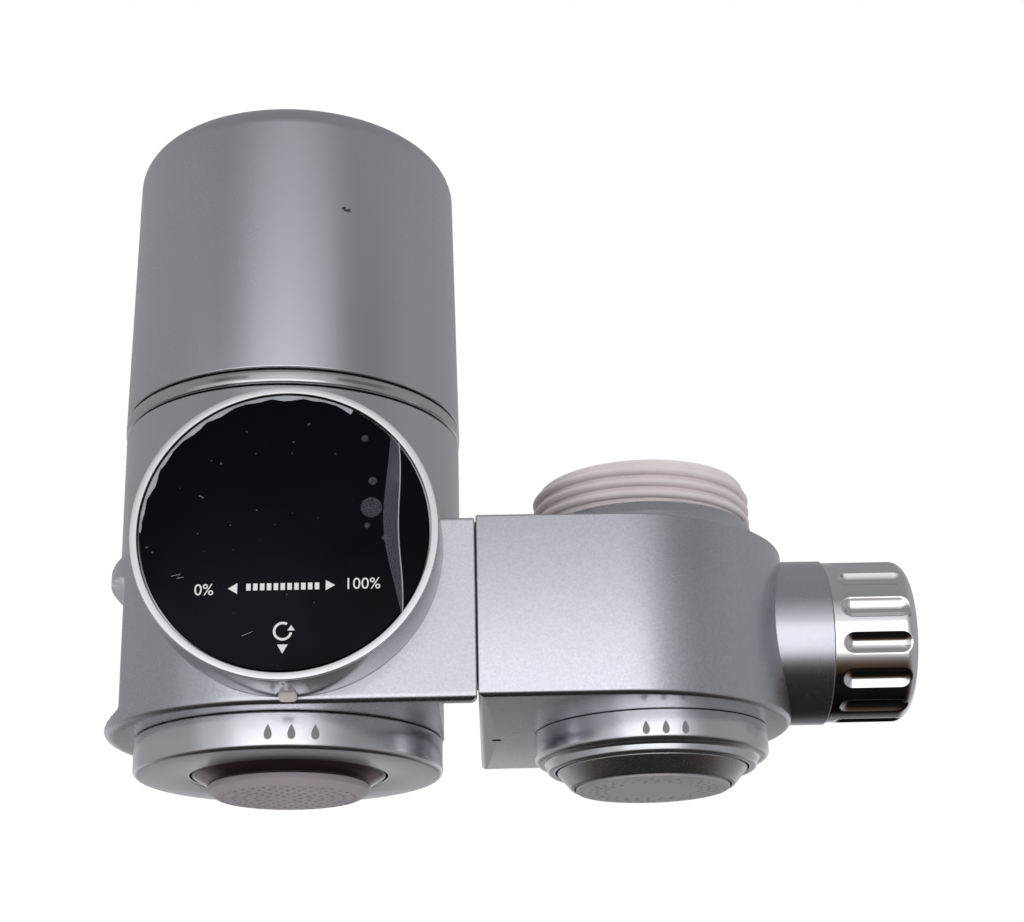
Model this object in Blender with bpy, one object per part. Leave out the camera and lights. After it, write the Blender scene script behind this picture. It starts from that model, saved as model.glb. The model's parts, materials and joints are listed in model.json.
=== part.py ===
"""Faucet mount water filter, modelled in millimetres and built in metres.

The origin is the centre of the threaded inlet's rim. +Z points up the inlet, -Y is the
display side, and +X points to the selector knob. Empties carry the local frames, so that
a size below is a distance from the axis or the face that the piece belongs to.
"""

import math

import bmesh
import bpy
from mathutils import Matrix, Vector

MM = 0.001
GAP = 0.3
SHARP_ANGLE = math.radians(32)

# Sides of the wide, middle, small and hidden round pieces
WIDE = 36
ROUND = 26
SMALL = 14
HIDDEN = 16

# The line that the coupling, the rotor and the knob share
CROSS_AXIS_HEIGHT = 17.0

# Filter block and barrel
BLOCK_RADIUS = 33.0
BLOCK_HEIGHT = 31.6
BLOCK_END_INSET = 4.9
BLOCK_END = BLOCK_RADIUS - BLOCK_END_INSET
HOOD_REACH = 6.4
SEAM = BLOCK_END + HOOD_REACH
HOOD_WALL = 2.7
EDGE_BEVEL = 0.5
BARREL_INSET = 1.6
BARREL_RADIUS = BLOCK_RADIUS - BARREL_INSET
BARREL_TOP = 57.3
BOWL_FLOOR_THICKNESS = 3.0
BOWL_FLOOR = BLOCK_HEIGHT + BOWL_FLOOR_THICKNESS
SPIGOT_INSET = 2.5
SPIGOT_RADIUS = BARREL_RADIUS - SPIGOT_INSET
SPIGOT_HEIGHT = 8.0
SPIGOT_WALL = 1.9
BOWL_RADIUS = SPIGOT_RADIUS - SPIGOT_WALL
RISER_RADIUS = 3.2
RISER_OFFSET = 0.6 * BOWL_RADIUS
TRIM_HEIGHT = 2.7

# Filter cover
COVER_TOP = 115.0
COVER_DRAFT = 0.9
COVER_EDGE_RADIUS = 5.0
COVER_WALL = 1.9

# Cartridge
CARTRIDGE_CLEARANCE = 1.6
CARTRIDGE_RADIUS = BOWL_RADIUS - CARTRIDGE_CLEARANCE
CARTRIDGE_BOTTOM = BOWL_FLOOR + 2.0
CARTRIDGE_HEADROOM = 8.5
CARTRIDGE_TOP = COVER_TOP - CARTRIDGE_HEADROOM
CARTRIDGE_CAP = 5.5
CORE_RADIUS = 7.0
CORE_WALL = 1.5
CARTRIDGE_SPIGOT_RADIUS = 6.0
CARTRIDGE_SPIGOT_LENGTH = 11.0

# Display
DISPLAY_OFFSET = 3.7
DISPLAY_HEIGHT = 26.4
DISPLAY_DEPTH = 10.7
BEZEL_RADIUS = 25.1
BEZEL_FLARE = 0.4
BEZEL_RIM = 1.25
WINDOW_THICKNESS = 1.6
WINDOW_RECESS = 0.5
BOARD_THICKNESS = 1.2
RESET_WIDTH = 3.2
RESET_DEPTH = 2.0
RESET_PROUD = 1.0
RESET_TRAVEL = 0.8

# Flat with its two lips, and the battery bay, in the block's left end
END_FLAT = 27.7
END_FLAT_LOW = 4.4
END_FLAT_HIGH = 25.5
LIP_LEAN = 0.5
BATTERY_HEIGHT = (END_FLAT_LOW + END_FLAT_HIGH) / 2
BATTERY_MARGIN = 0.9
BATTERY_SOCKET_RADIUS = (END_FLAT_HIGH - END_FLAT_LOW) / 2 - BATTERY_MARGIN
BATTERY_CAP_FACE = END_FLAT
BATTERY_CAP_THICKNESS = 3.6
CELL_RADIUS = 8.0
CELL_THICKNESS = 3.2

# Coupling between the halves
COUPLING_RADIUS = 6.4
COUPLING_WALL = 1.8
COUPLING_REACH = 8.0
COUPLING_NUT_RADIUS = 8.6

# Valve body
VALVE_BOTTOM = 0.5
VALVE_HEIGHT = 31.6
VALVE_ROUND_CENTRE = 7.44
VALVE_STRAIGHT = 23.76
SEAM_GAP = 0.2
FILTER_TO_INLET = SEAM + SEAM_GAP + VALVE_STRAIGHT + VALVE_ROUND_CENTRE
ROTOR_RADIUS = 10.6
ROTOR_LENGTH = 23.0
ROTOR_BORE = 5.0
PORT_RADIUS = 7.5

# Threaded inlet
COLLAR_HEIGHT = 6.3
COLLAR_TOP = VALVE_BOTTOM + VALVE_HEIGHT + COLLAR_HEIGHT
COLLAR_FLARE = 1.8
THREAD_LENGTH = 8.5
INLET_RIM_HEIGHT = COLLAR_TOP + THREAD_LENGTH
THREAD_RADIUS = 20.3
THREAD_DEPTH = 0.9
THREAD_PITCH = 2.2
COLLAR_RADIUS = THREAD_RADIUS - 0.1
THREAD_RIM_RADIUS = THREAD_RADIUS - 1.4
SEAT_WALL = 3.5
SEAT_RADIUS = THREAD_RIM_RADIUS - SEAT_WALL
SEAT_DEPTH = 5.2
SEAT_LEDGE = 3.6
INLET_BORE = SEAT_RADIUS - SEAT_LEDGE
STRAINER_THICKNESS = 0.9

# Selector neck and knob
NECK_RADIUS = 15.25
NECK_OVERLAP = 8.0
NECK_LENGTH = 6.84
KNOB_START = BLOCK_RADIUS - VALVE_ROUND_CENTRE + NECK_LENGTH
KNOB_LENGTH = 15.4
KNOB_RADIUS = 14.9
KNOB_EDGE_RADIUS = 2.6
FLUTES = 14
FLUTE_WIDTH = 3.9
FLUTE_DEPTH = 1.1
FLUTE_TURN = math.radians(2)
SPINDLE_RADIUS = 4.0
TANG_LENGTH = 5.0

# Outlet for unfiltered water
ORIGINAL_RADIUS = 21.3
ORIGINAL_HEIGHT = 6.6
ORIGINAL_SEAT = 17.6
ORIGINAL_PLATE_RADIUS = 14.0
ORIGINAL_PLATE_DROP = 10.1

# Outlet for filtered water
FILTERED_RADIUS = 27.8
FILTERED_HEIGHT = 6.4
FILTERED_EDGE_RADIUS = 0.9
FILTERED_OPENING = 17.8
FILTERED_PLATE_RADIUS = 14.3
FILTERED_PLATE_DROP = 9.6
SPRAY_HOLE_RADIUS = 0.45


def clear_scene():
    for old in list(bpy.data.objects):
        bpy.data.objects.remove(old, do_unlink=True)


def material(name, colour, roughness, metallic, alpha=1.0):
    made = bpy.data.materials.new(name)
    made.use_nodes = True
    shader = made.node_tree.nodes["Principled BSDF"]
    shader.inputs["Base Color"].default_value = (*colour, 1.0)
    shader.inputs["Roughness"].default_value = roughness
    shader.inputs["Metallic"].default_value = metallic
    shader.inputs["Alpha"].default_value = alpha
    made.diffuse_color = (*colour, alpha)
    return made


def empty(name, location, direction="UP"):
    """A local frame whose +Z looks UP, to the FRONT (-Y), RIGHT (+X) or LEFT (-X)."""
    turns = {
        "UP": Matrix.Identity(4),
        "FRONT": Matrix.Rotation(math.radians(90), 4, "X"),
        "RIGHT": Matrix.Rotation(math.radians(90), 4, "Y"),
        "LEFT": Matrix.Rotation(math.radians(-90), 4, "Y"),
    }
    made = bpy.data.objects.new(name, None)
    made.empty_display_size = 0.01
    bpy.context.scene.collection.objects.link(made)
    made.matrix_world = Matrix.Translation(Vector(location) * MM) @ turns[direction]
    return made


def add(name, bm, frame, mat=None):
    """Turns a bmesh in millimetres into an object of the given local frame."""
    bmesh.ops.scale(bm, vec=(MM, MM, MM), verts=bm.verts)
    bmesh.ops.recalc_face_normals(bm, faces=bm.faces)
    mesh = bpy.data.meshes.new(name)
    bm.to_mesh(mesh)
    bm.free()
    made = bpy.data.objects.new(name, mesh)
    bpy.context.scene.collection.objects.link(made)
    made.parent = frame
    if mat:
        mesh.materials.append(mat)
    mesh.shade_smooth()
    mesh.set_sharp_from_angle(angle=SHARP_ANGLE)
    return made


def revolve(name, profile, frame, mat=None, segments=ROUND, centre=(0, 0)):
    """Spins a closed (radius, height) outline round the frame's Z axis."""
    bm = bmesh.new()
    rings = []
    for radius, height in profile:
        if radius < 1e-6:
            rings.append([bm.verts.new((centre[0], centre[1], height))] * segments)
            continue
        ring = []
        for i in range(segments):
            angle = 2 * math.pi * i / segments
            x = centre[0] + radius * math.cos(angle)
            y = centre[1] + radius * math.sin(angle)
            ring.append(bm.verts.new((x, y, height)))
        rings.append(ring)
    for lower, upper in zip(rings, rings[1:] + rings[:1]):
        if lower[0] is lower[1] and upper[0] is upper[1]:
            continue
        for i in range(segments):
            j = (i + 1) % segments
            corners = []
            for corner in (lower[i], lower[j], upper[j], upper[i]):
                if corner not in corners:
                    corners.append(corner)
            bm.faces.new(corners)
    return add(name, bm, frame, mat)


def prism(name, outline, bottom, top, frame, mat=None):
    """Extrudes a closed (x, y) outline from one height to another."""
    bm = bmesh.new()
    base = bm.faces.new([bm.verts.new((x, y, bottom)) for x, y in outline])
    raised = bmesh.ops.extrude_face_region(bm, geom=[base])["geom"]
    lifted = [v for v in raised if isinstance(v, bmesh.types.BMVert)]
    bmesh.ops.translate(bm, vec=(0, 0, top - bottom), verts=lifted)
    return add(name, bm, frame, mat)


def box(name, low, high, frame, mat=None):
    outline = [(low[0], low[1]), (high[0], low[1]), (high[0], high[1]), (low[0], high[1])]
    return prism(name, outline, low[2], high[2], frame, mat)


def rod(name, radius, bottom, top, frame, mat=None, segments=ROUND, centre=(0, 0)):
    profile = [(0, bottom), (radius, bottom), (radius, top), (0, top)]
    return revolve(name, profile, frame, mat, segments, centre)


def tube(name, inner, outer, bottom, top, frame, mat=None, segments=ROUND):
    profile = [(inner, bottom), (outer, bottom), (outer, top), (inner, top)]
    return revolve(name, profile, frame, mat, segments)


def o_ring(name, groove_floor, thickness, height, frame, mat, segments=SMALL):
    """A round rubber ring lying just clear of the floor of its groove."""
    radius = groove_floor + GAP / 2 + thickness / 2
    section = [
        (radius + thickness / 2 * math.cos(a), height + thickness / 2 * math.sin(a))
        for a in (2 * math.pi * i / 5 for i in range(5))
    ]
    return revolve(name, section, frame, mat, segments)


def arc(centre, radius, start, end, steps):
    """Points on a circle of the (radius, height) plane, angles in degrees."""
    return [
        (
            centre[0] + radius * math.cos(math.radians(start + (end - start) * i / steps)),
            centre[1] + radius * math.sin(math.radians(start + (end - start) * i / steps)),
        )
        for i in range(steps + 1)
    ]


def boolean(target, other, operation):
    step = target.modifiers.new(operation.lower() + " " + other.name, "BOOLEAN")
    step.operation = operation
    step.solver = "EXACT"
    step.object = other
    other.hide_render = True
    other.display_type = "WIRE"


def cut(target, *others):
    for other in others:
        boolean(target, other, "DIFFERENCE")


def join(target, *others):
    for other in others:
        boolean(target, other, "UNION")


def bevel(target, width, angle=50):
    step = target.modifiers.new("edge bevel", "BEVEL")
    step.width = width * MM
    step.segments = 1
    step.limit_method = "ANGLE"
    step.angle_limit = math.radians(angle)


def sharpen_cut_edges():
    """Marks the edges that the cuts made as sharp, so the round sides beside them stay smooth."""
    group = bpy.data.node_groups.new("sharp_edges", "GeometryNodeTree")
    group.interface.new_socket("Geometry", in_out="INPUT", socket_type="NodeSocketGeometry")
    group.interface.new_socket("Geometry", in_out="OUTPUT", socket_type="NodeSocketGeometry")
    start = group.nodes.new("NodeGroupInput")
    angle = group.nodes.new("GeometryNodeInputMeshEdgeAngle")
    sharp = group.nodes.new("FunctionNodeCompare")
    sharp.operation = "GREATER_THAN"
    sharp.inputs[1].default_value = SHARP_ANGLE
    shade = group.nodes.new("GeometryNodeSetShadeSmooth")
    shade.domain = "EDGE"
    shade.inputs["Shade Smooth"].default_value = False
    end = group.nodes.new("NodeGroupOutput")
    group.links.new(angle.outputs["Unsigned Angle"], sharp.inputs[0])
    group.links.new(start.outputs[0], shade.inputs["Geometry"])
    group.links.new(sharp.outputs[0], shade.inputs["Selection"])
    group.links.new(shade.outputs[0], end.inputs[0])
    for made in bpy.data.objects:
        if made.modifiers:
            made.modifiers.new("sharp edges", "NODES").node_group = group


def half_round(centre_x, radius, far_x, facing, steps=WIDE // 2):
    """A plan outline with one straight end at far_x and one half-round end."""
    sweep = arc((centre_x, 0), radius, -90, 90 if facing > 0 else -270, steps)
    if facing > 0:
        return sweep + [(far_x, radius), (far_x, -radius)]
    return sweep[::-1] + [(far_x, -radius), (far_x, radius)]


def build_materials():
    return {
        "satin_silver": material("satin_silver", (0.42, 0.43, 0.45), 0.34, 0.9),
        "chrome": material("chrome", (0.72, 0.73, 0.75), 0.06, 1.0),
        "bezel_silver": material("bezel_silver", (0.66, 0.67, 0.69), 0.22, 0.9),
        "dark_satin": material("dark_satin", (0.24, 0.24, 0.25), 0.32, 0.9),
        "inlet_plastic": material("inlet_plastic", (0.62, 0.55, 0.54), 0.45, 0.0),
        "grey_plastic": material("grey_plastic", (0.27, 0.25, 0.26), 0.5, 0.0),
        "spray_plastic": material("spray_plastic", (0.3, 0.25, 0.27), 0.35, 0.0),
        "clear_plastic": material("clear_plastic", (0.35, 0.28, 0.31), 0.08, 0.0, 0.4),
        "display_black": material("display_black", (0.006, 0.007, 0.012), 0.06, 0.0),
        "reset_plastic": material("reset_plastic", (0.55, 0.52, 0.5), 0.3, 0.0),
        "board_green": material("board_green", (0.02, 0.14, 0.06), 0.5, 0.0),
        "rubber": material("rubber", (0.02, 0.02, 0.02), 0.7, 0.0),
        "white_plastic": material("white_plastic", (0.75, 0.76, 0.77), 0.4, 0.0),
        "carbon_block": material("carbon_block", (0.03, 0.03, 0.032), 0.9, 0.0),
        "steel": material("steel", (0.5, 0.5, 0.5), 0.3, 1.0),
        "brass": material("brass", (0.6, 0.42, 0.18), 0.3, 1.0),
    }


def build_frames():
    base = -INLET_RIM_HEIGHT
    cross = base + CROSS_AXIS_HEIGHT
    filter_x = -FILTER_TO_INLET
    display = (filter_x + DISPLAY_OFFSET, -BLOCK_RADIUS, base + DISPLAY_HEIGHT)
    return {
        "filter": empty("filter_axis", (filter_x, 0, base)),
        "valve": empty("valve_axis", (0, 0, base)),
        "knob": empty("knob_axis", (0, 0, cross), "RIGHT"),
        "coupling": empty("coupling_axis", (filter_x, 0, cross), "RIGHT"),
        "battery": empty("battery_axis", (filter_x, 0, base + BATTERY_HEIGHT), "LEFT"),
        "end_flat": empty("end_flat_axis", (filter_x, 0, base), "FRONT"),
        "display": empty("display_axis", display, "FRONT"),
    }


def build_filter_housing(frames, mats):
    """Block, hood, barrel and display boss moulded as one, open at the top as a bowl."""
    frame = frames["filter"]
    plan = half_round(0, BLOCK_RADIUS, SEAM, -1)
    housing = prism("filter_housing", plan, 0, BLOCK_HEIGHT, frame, mats["satin_silver"])
    bevel(housing, EDGE_BEVEL)
    groove = BARREL_TOP + SPIGOT_HEIGHT * 0.5
    barrel = revolve(
        "barrel_form",
        [
            (0, BLOCK_HEIGHT / 2),
            (BARREL_RADIUS, BLOCK_HEIGHT / 2),
            (BARREL_RADIUS, BARREL_TOP),
            (SPIGOT_RADIUS, BARREL_TOP),
            (SPIGOT_RADIUS, groove),
            (SPIGOT_RADIUS - 1.0, groove + 0.1),
            (SPIGOT_RADIUS - 1.0, groove + 1.3),
            (SPIGOT_RADIUS, groove + 1.4),
            (SPIGOT_RADIUS, BARREL_TOP + SPIGOT_HEIGHT - 0.6),
            (SPIGOT_RADIUS - 0.6, BARREL_TOP + SPIGOT_HEIGHT),
            (0, BARREL_TOP + SPIGOT_HEIGHT),
        ],
        frame,
        segments=WIDE,
    )
    boss = rod("display_boss_form", BEZEL_RADIUS - 0.6, -BLOCK_RADIUS / 2, -0.1, frames["display"])
    join(housing, barrel, boss)

    bowl = revolve(
        "bowl_cutter",
        [
            (0, BOWL_FLOOR),
            (BOWL_RADIUS - 2, BOWL_FLOOR),
            (BOWL_RADIUS, BOWL_FLOOR + 2),
            (BOWL_RADIUS, BARREL_TOP + SPIGOT_HEIGHT + 5),
            (0, BARREL_TOP + SPIGOT_HEIGHT + 5),
        ],
        frame,
        segments=ROUND - 1,
    )
    seat = CARTRIDGE_SPIGOT_RADIUS + 0.5
    throat = CARTRIDGE_BOTTOM - CARTRIDGE_SPIGOT_LENGTH - 1.5
    outlet = revolve(
        "outlet_bore_cutter",
        [
            (0, -5),
            (FILTERED_PLATE_RADIUS - 2, -5),
            (FILTERED_PLATE_RADIUS - 2, 7),
            (ROTOR_BORE, 9),
            (ROTOR_BORE, throat - 1.2),
            (seat, throat),
            (seat, BOWL_FLOOR + 3),
            (0, BOWL_FLOOR + 3),
        ],
        frame,
        segments=SMALL,
    )
    notch = box(
        "coupling_notch_cutter",
        (BLOCK_END, HOOD_WALL - BLOCK_RADIUS, -5),
        (SEAM + 5, BLOCK_RADIUS + 5, BLOCK_HEIGHT - HOOD_WALL),
        frame,
    )
    inner_end = BLOCK_END - COUPLING_REACH
    channel = revolve(
        "raw_water_channel_cutter",
        [
            (0, RISER_OFFSET - RISER_RADIUS / 2),
            (COUPLING_RADIUS - COUPLING_WALL, RISER_OFFSET - RISER_RADIUS / 2),
            (COUPLING_RADIUS - COUPLING_WALL, inner_end),
            (COUPLING_RADIUS + GAP, inner_end),
            (COUPLING_RADIUS + GAP, BLOCK_END + 1),
            (0, BLOCK_END + 1),
        ],
        frames["coupling"],
        segments=SMALL,
    )
    riser = rod(
        "riser_cutter", RISER_RADIUS, CROSS_AXIS_HEIGHT, BOWL_FLOOR + 3, frame,
        segments=10, centre=(RISER_OFFSET, 0),
    )
    # The lips above and below the flat lean back, so the flat's cutter widens outwards.
    outside = BLOCK_RADIUS + 5
    rise = (outside - END_FLAT) * LIP_LEAN
    end_flat = prism(
        "end_flat_cutter",
        [
            (-END_FLAT, END_FLAT_LOW),
            (-END_FLAT, END_FLAT_HIGH),
            (-outside, END_FLAT_HIGH + rise),
            (-outside, END_FLAT_LOW - rise),
        ],
        -BLOCK_RADIUS,
        BLOCK_RADIUS,
        frames["end_flat"],
    )
    pocket = BATTERY_CAP_FACE - BATTERY_CAP_THICKNESS
    bay = revolve(
        "battery_bay_cutter",
        [
            (0, pocket - CELL_THICKNESS - 1.6),
            (CELL_RADIUS + 0.5, pocket - CELL_THICKNESS - 1.6),
            (CELL_RADIUS + 0.5, pocket - GAP),
            (BATTERY_SOCKET_RADIUS, pocket - GAP),
            (BATTERY_SOCKET_RADIUS, BLOCK_RADIUS + 5),
            (0, BLOCK_RADIUS + 5),
        ],
        frames["battery"],
        segments=ROUND,
    )
    cut(housing, bowl, outlet, notch, channel, riser, end_flat, bay)
    return housing


def build_cover(frames, mats):
    frame = frames["filter"]
    seat = BARREL_TOP + TRIM_HEIGHT + 2 * GAP
    bottom_radius = BARREL_RADIUS + 0.15
    top_radius = bottom_radius - COVER_DRAFT
    corner = (top_radius - COVER_EDGE_RADIUS, COVER_TOP - COVER_EDGE_RADIUS)
    outer = arc(corner, COVER_EDGE_RADIUS, 0, 90, 4)
    inner_radius = COVER_EDGE_RADIUS - COVER_WALL
    inner = arc(corner, inner_radius, 90, 0, 2)
    profile = [(bottom_radius, seat), *outer, (0, COVER_TOP), (0, COVER_TOP - COVER_WALL), *inner]
    profile.append((bottom_radius - COVER_WALL, seat))
    revolve("filter_cover", profile, frame, mats["satin_silver"], WIDE)
    low = BARREL_TOP + GAP
    trim_profile = [
        (SPIGOT_RADIUS + GAP, low),
        (BARREL_RADIUS + 0.05, low),
        (BARREL_RADIUS + 0.2, low + 0.25),
        (BARREL_RADIUS + 0.2, low + TRIM_HEIGHT - 0.25),
        (BARREL_RADIUS + 0.05, low + TRIM_HEIGHT),
        (SPIGOT_RADIUS + GAP, low + TRIM_HEIGHT),
    ]
    revolve("cover_trim_ring", trim_profile, frame, mats["chrome"], WIDE)
    groove = BARREL_TOP + SPIGOT_HEIGHT * 0.5 + 0.7
    o_ring("cover_seal", SPIGOT_RADIUS - 1.0, 0.9, groove, frame, mats["rubber"], WIDE)


def build_cartridge(frames, mats):
    frame = frames["filter"]
    cap_inner = CORE_RADIUS + GAP
    media_low = CARTRIDGE_BOTTOM + CARTRIDGE_CAP * 0.5
    media_high = CARTRIDGE_TOP - CARTRIDGE_CAP * 0.5
    skirt = CARTRIDGE_RADIUS - 1.4
    spigot_end = CARTRIDGE_BOTTOM - CARTRIDGE_SPIGOT_LENGTH
    bore = CARTRIDGE_SPIGOT_RADIUS - 2
    ring = spigot_end + 3.5
    groove = CARTRIDGE_SPIGOT_RADIUS - 0.7
    bottom_cap = [
        (bore, spigot_end),
        (CARTRIDGE_SPIGOT_RADIUS - 0.5, spigot_end),
        (CARTRIDGE_SPIGOT_RADIUS, spigot_end + 0.6),
        (CARTRIDGE_SPIGOT_RADIUS, ring - 0.7),
        (groove, ring - 0.6),
        (groove, ring + 0.6),
        (CARTRIDGE_SPIGOT_RADIUS, ring + 0.7),
        (CARTRIDGE_SPIGOT_RADIUS, CARTRIDGE_BOTTOM),
        (CARTRIDGE_RADIUS, CARTRIDGE_BOTTOM),
        (CARTRIDGE_RADIUS, CARTRIDGE_BOTTOM + CARTRIDGE_CAP),
        (skirt, CARTRIDGE_BOTTOM + CARTRIDGE_CAP),
        (skirt, media_low - GAP),
        (bore, media_low - GAP),
    ]
    revolve("cartridge_bottom_cap", bottom_cap, frame, mats["white_plastic"], HIDDEN)
    o_ring("cartridge_spigot_seal", groove, 0.7, ring, frame, mats["rubber"], HIDDEN)
    top_cap = [
        (0, media_high + GAP),
        (skirt, media_high + GAP),
        (skirt, CARTRIDGE_TOP - CARTRIDGE_CAP),
        (CARTRIDGE_RADIUS, CARTRIDGE_TOP - CARTRIDGE_CAP),
        (CARTRIDGE_RADIUS, CARTRIDGE_TOP - 0.8),
        (CARTRIDGE_RADIUS - 0.8, CARTRIDGE_TOP),
        (0, CARTRIDGE_TOP),
    ]
    revolve("cartridge_top_cap", top_cap, frame, mats["white_plastic"], HIDDEN)
    media = CARTRIDGE_RADIUS - 1.4 - GAP
    tube(
        "filter_media", cap_inner, media, media_low, media_high,
        frame, mats["carbon_block"], HIDDEN,
    )
    tube(
        "cartridge_core", CORE_RADIUS - CORE_WALL, CORE_RADIUS, media_low, media_high,
        frame, mats["white_plastic"], HIDDEN,
    )


def build_display(frames, mats):
    """A shallow drum with a thin rim, the window let into it and the board behind."""
    frame = frames["display"]
    cavity = BEZEL_RADIUS - BEZEL_RIM
    window_back = DISPLAY_DEPTH - WINDOW_RECESS - WINDOW_THICKNESS
    ledge = window_back - GAP
    bezel_profile = [
        (cavity - 1.6, GAP + 1.6),
        (cavity - 1.6, ledge),
        (cavity, ledge),
        (cavity, DISPLAY_DEPTH),
        (BEZEL_RADIUS - 0.45, DISPLAY_DEPTH),
        (BEZEL_RADIUS, DISPLAY_DEPTH - 0.45),
        (BEZEL_RADIUS + BEZEL_FLARE, GAP),
        (0, GAP),
        (0, GAP + 1.6),
    ]
    bezel = revolve("display_bezel", bezel_profile, frame, mats["bezel_silver"], WIDE)
    rod(
        "display_window", cavity - GAP, window_back, window_back + WINDOW_THICKNESS,
        frame, mats["display_black"], WIDE,
    )
    board_back = ledge - 2.2
    board = rod(
        "display_board", cavity - 1.6 - GAP, board_back, board_back + BOARD_THICKNESS,
        frame, mats["board_green"], WIDE,
    )
    # The reset button's slot runs up through the lower wall and past the board's edge.
    slot_low = -(BEZEL_RADIUS + BEZEL_FLARE + 2)
    wall_inner = -(cavity - 1.6)
    middle = GAP + 1.6 + RESET_DEPTH / 2 + GAP
    half = RESET_WIDTH / 2
    slot = box(
        "reset_slot_cutter",
        (-half - GAP, slot_low, middle - RESET_DEPTH / 2 - GAP),
        (half + GAP, wall_inner + 1, middle + RESET_DEPTH / 2 + GAP),
        frame,
    )
    cut(bezel, slot)
    button = box(
        "reset_button",
        (-half, -(BEZEL_RADIUS + BEZEL_FLARE) - RESET_PROUD, middle - RESET_DEPTH / 2),
        (half, wall_inner + 1.2, middle + RESET_DEPTH / 2),
        frame,
        mats["reset_plastic"],
    )
    flange = box(
        "reset_flange_form",
        (-half - 1.2, wall_inner + 0.5, middle - RESET_DEPTH / 2),
        (half + 1.2, wall_inner + 1.5, middle + RESET_DEPTH / 2),
        frame,
    )
    join(button, flange)
    bevel(button, 0.35)
    switch_low = wall_inner + 1.5 + RESET_TRAVEL + GAP
    box(
        "reset_switch",
        (-1.6, switch_low, board_back - GAP - 1.8),
        (1.6, switch_low + 3.0, board_back - GAP),
        frame,
        mats["rubber"],
    )
    return board


def build_battery_bay(frames, mats):
    frame = frames["battery"]
    face = BATTERY_CAP_FACE
    back = face - BATTERY_CAP_THICKNESS
    rim = BATTERY_SOCKET_RADIUS - GAP
    groove = back + BATTERY_CAP_THICKNESS * 0.45
    cap = revolve(
        "battery_cap",
        [
            (0, back),
            (rim, back),
            (rim, groove - 0.6),
            (rim - 0.8, groove - 0.5),
            (rim - 0.8, groove + 0.5),
            (rim, groove + 0.6),
            (rim, face - 0.3),
            (rim - 0.3, face),
            (0, face),
        ],
        frame,
        mats["satin_silver"],
        ROUND,
    )
    slot = box("coin_slot_cutter", (-0.8, -5, face - 1.2), (0.8, 5, face + 1), frame)
    cut(cap, slot)
    o_ring("battery_cap_seal", rim - 0.8, 0.7, groove, frame, mats["rubber"], ROUND)
    cell_top = back - GAP - 0.3
    rod("coin_cell", CELL_RADIUS, cell_top - CELL_THICKNESS, cell_top, frame, mats["steel"], HIDDEN)


def build_coupling(frames, mats):
    """The water tube between the halves, its two seals and the union nut."""
    frame = frames["coupling"]
    left = BLOCK_END - COUPLING_REACH + GAP
    right = SEAM + COUPLING_REACH
    bore = COUPLING_RADIUS - COUPLING_WALL
    groove = COUPLING_RADIUS - 0.7
    left_ring = BLOCK_END - COUPLING_REACH / 2
    right_ring = SEAM + COUPLING_REACH / 2
    profile = [(bore, left), (COUPLING_RADIUS, left)]
    for ring in (left_ring, right_ring):
        profile += [
            (COUPLING_RADIUS, ring - 0.7),
            (groove, ring - 0.6),
            (groove, ring + 0.6),
            (COUPLING_RADIUS, ring + 0.7),
        ]
    profile += [(COUPLING_RADIUS, right), (bore, right)]
    revolve("coupling_tube", profile, frame, mats["brass"], SMALL)
    o_ring("coupling_seal_filter_side", groove, 0.7, left_ring, frame, mats["rubber"])
    o_ring("coupling_seal_valve_side", groove, 0.7, right_ring, frame, mats["rubber"])
    nut = rod(
        "coupling_nut", COUPLING_NUT_RADIUS, BLOCK_END + GAP, SEAM - GAP,
        frame, mats["brass"], 6,
    )
    hole = rod(
        "nut_bore_cutter", COUPLING_RADIUS + GAP, BLOCK_END - 1, SEAM + 1, frame, segments=SMALL
    )
    cut(nut, hole)


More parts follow.
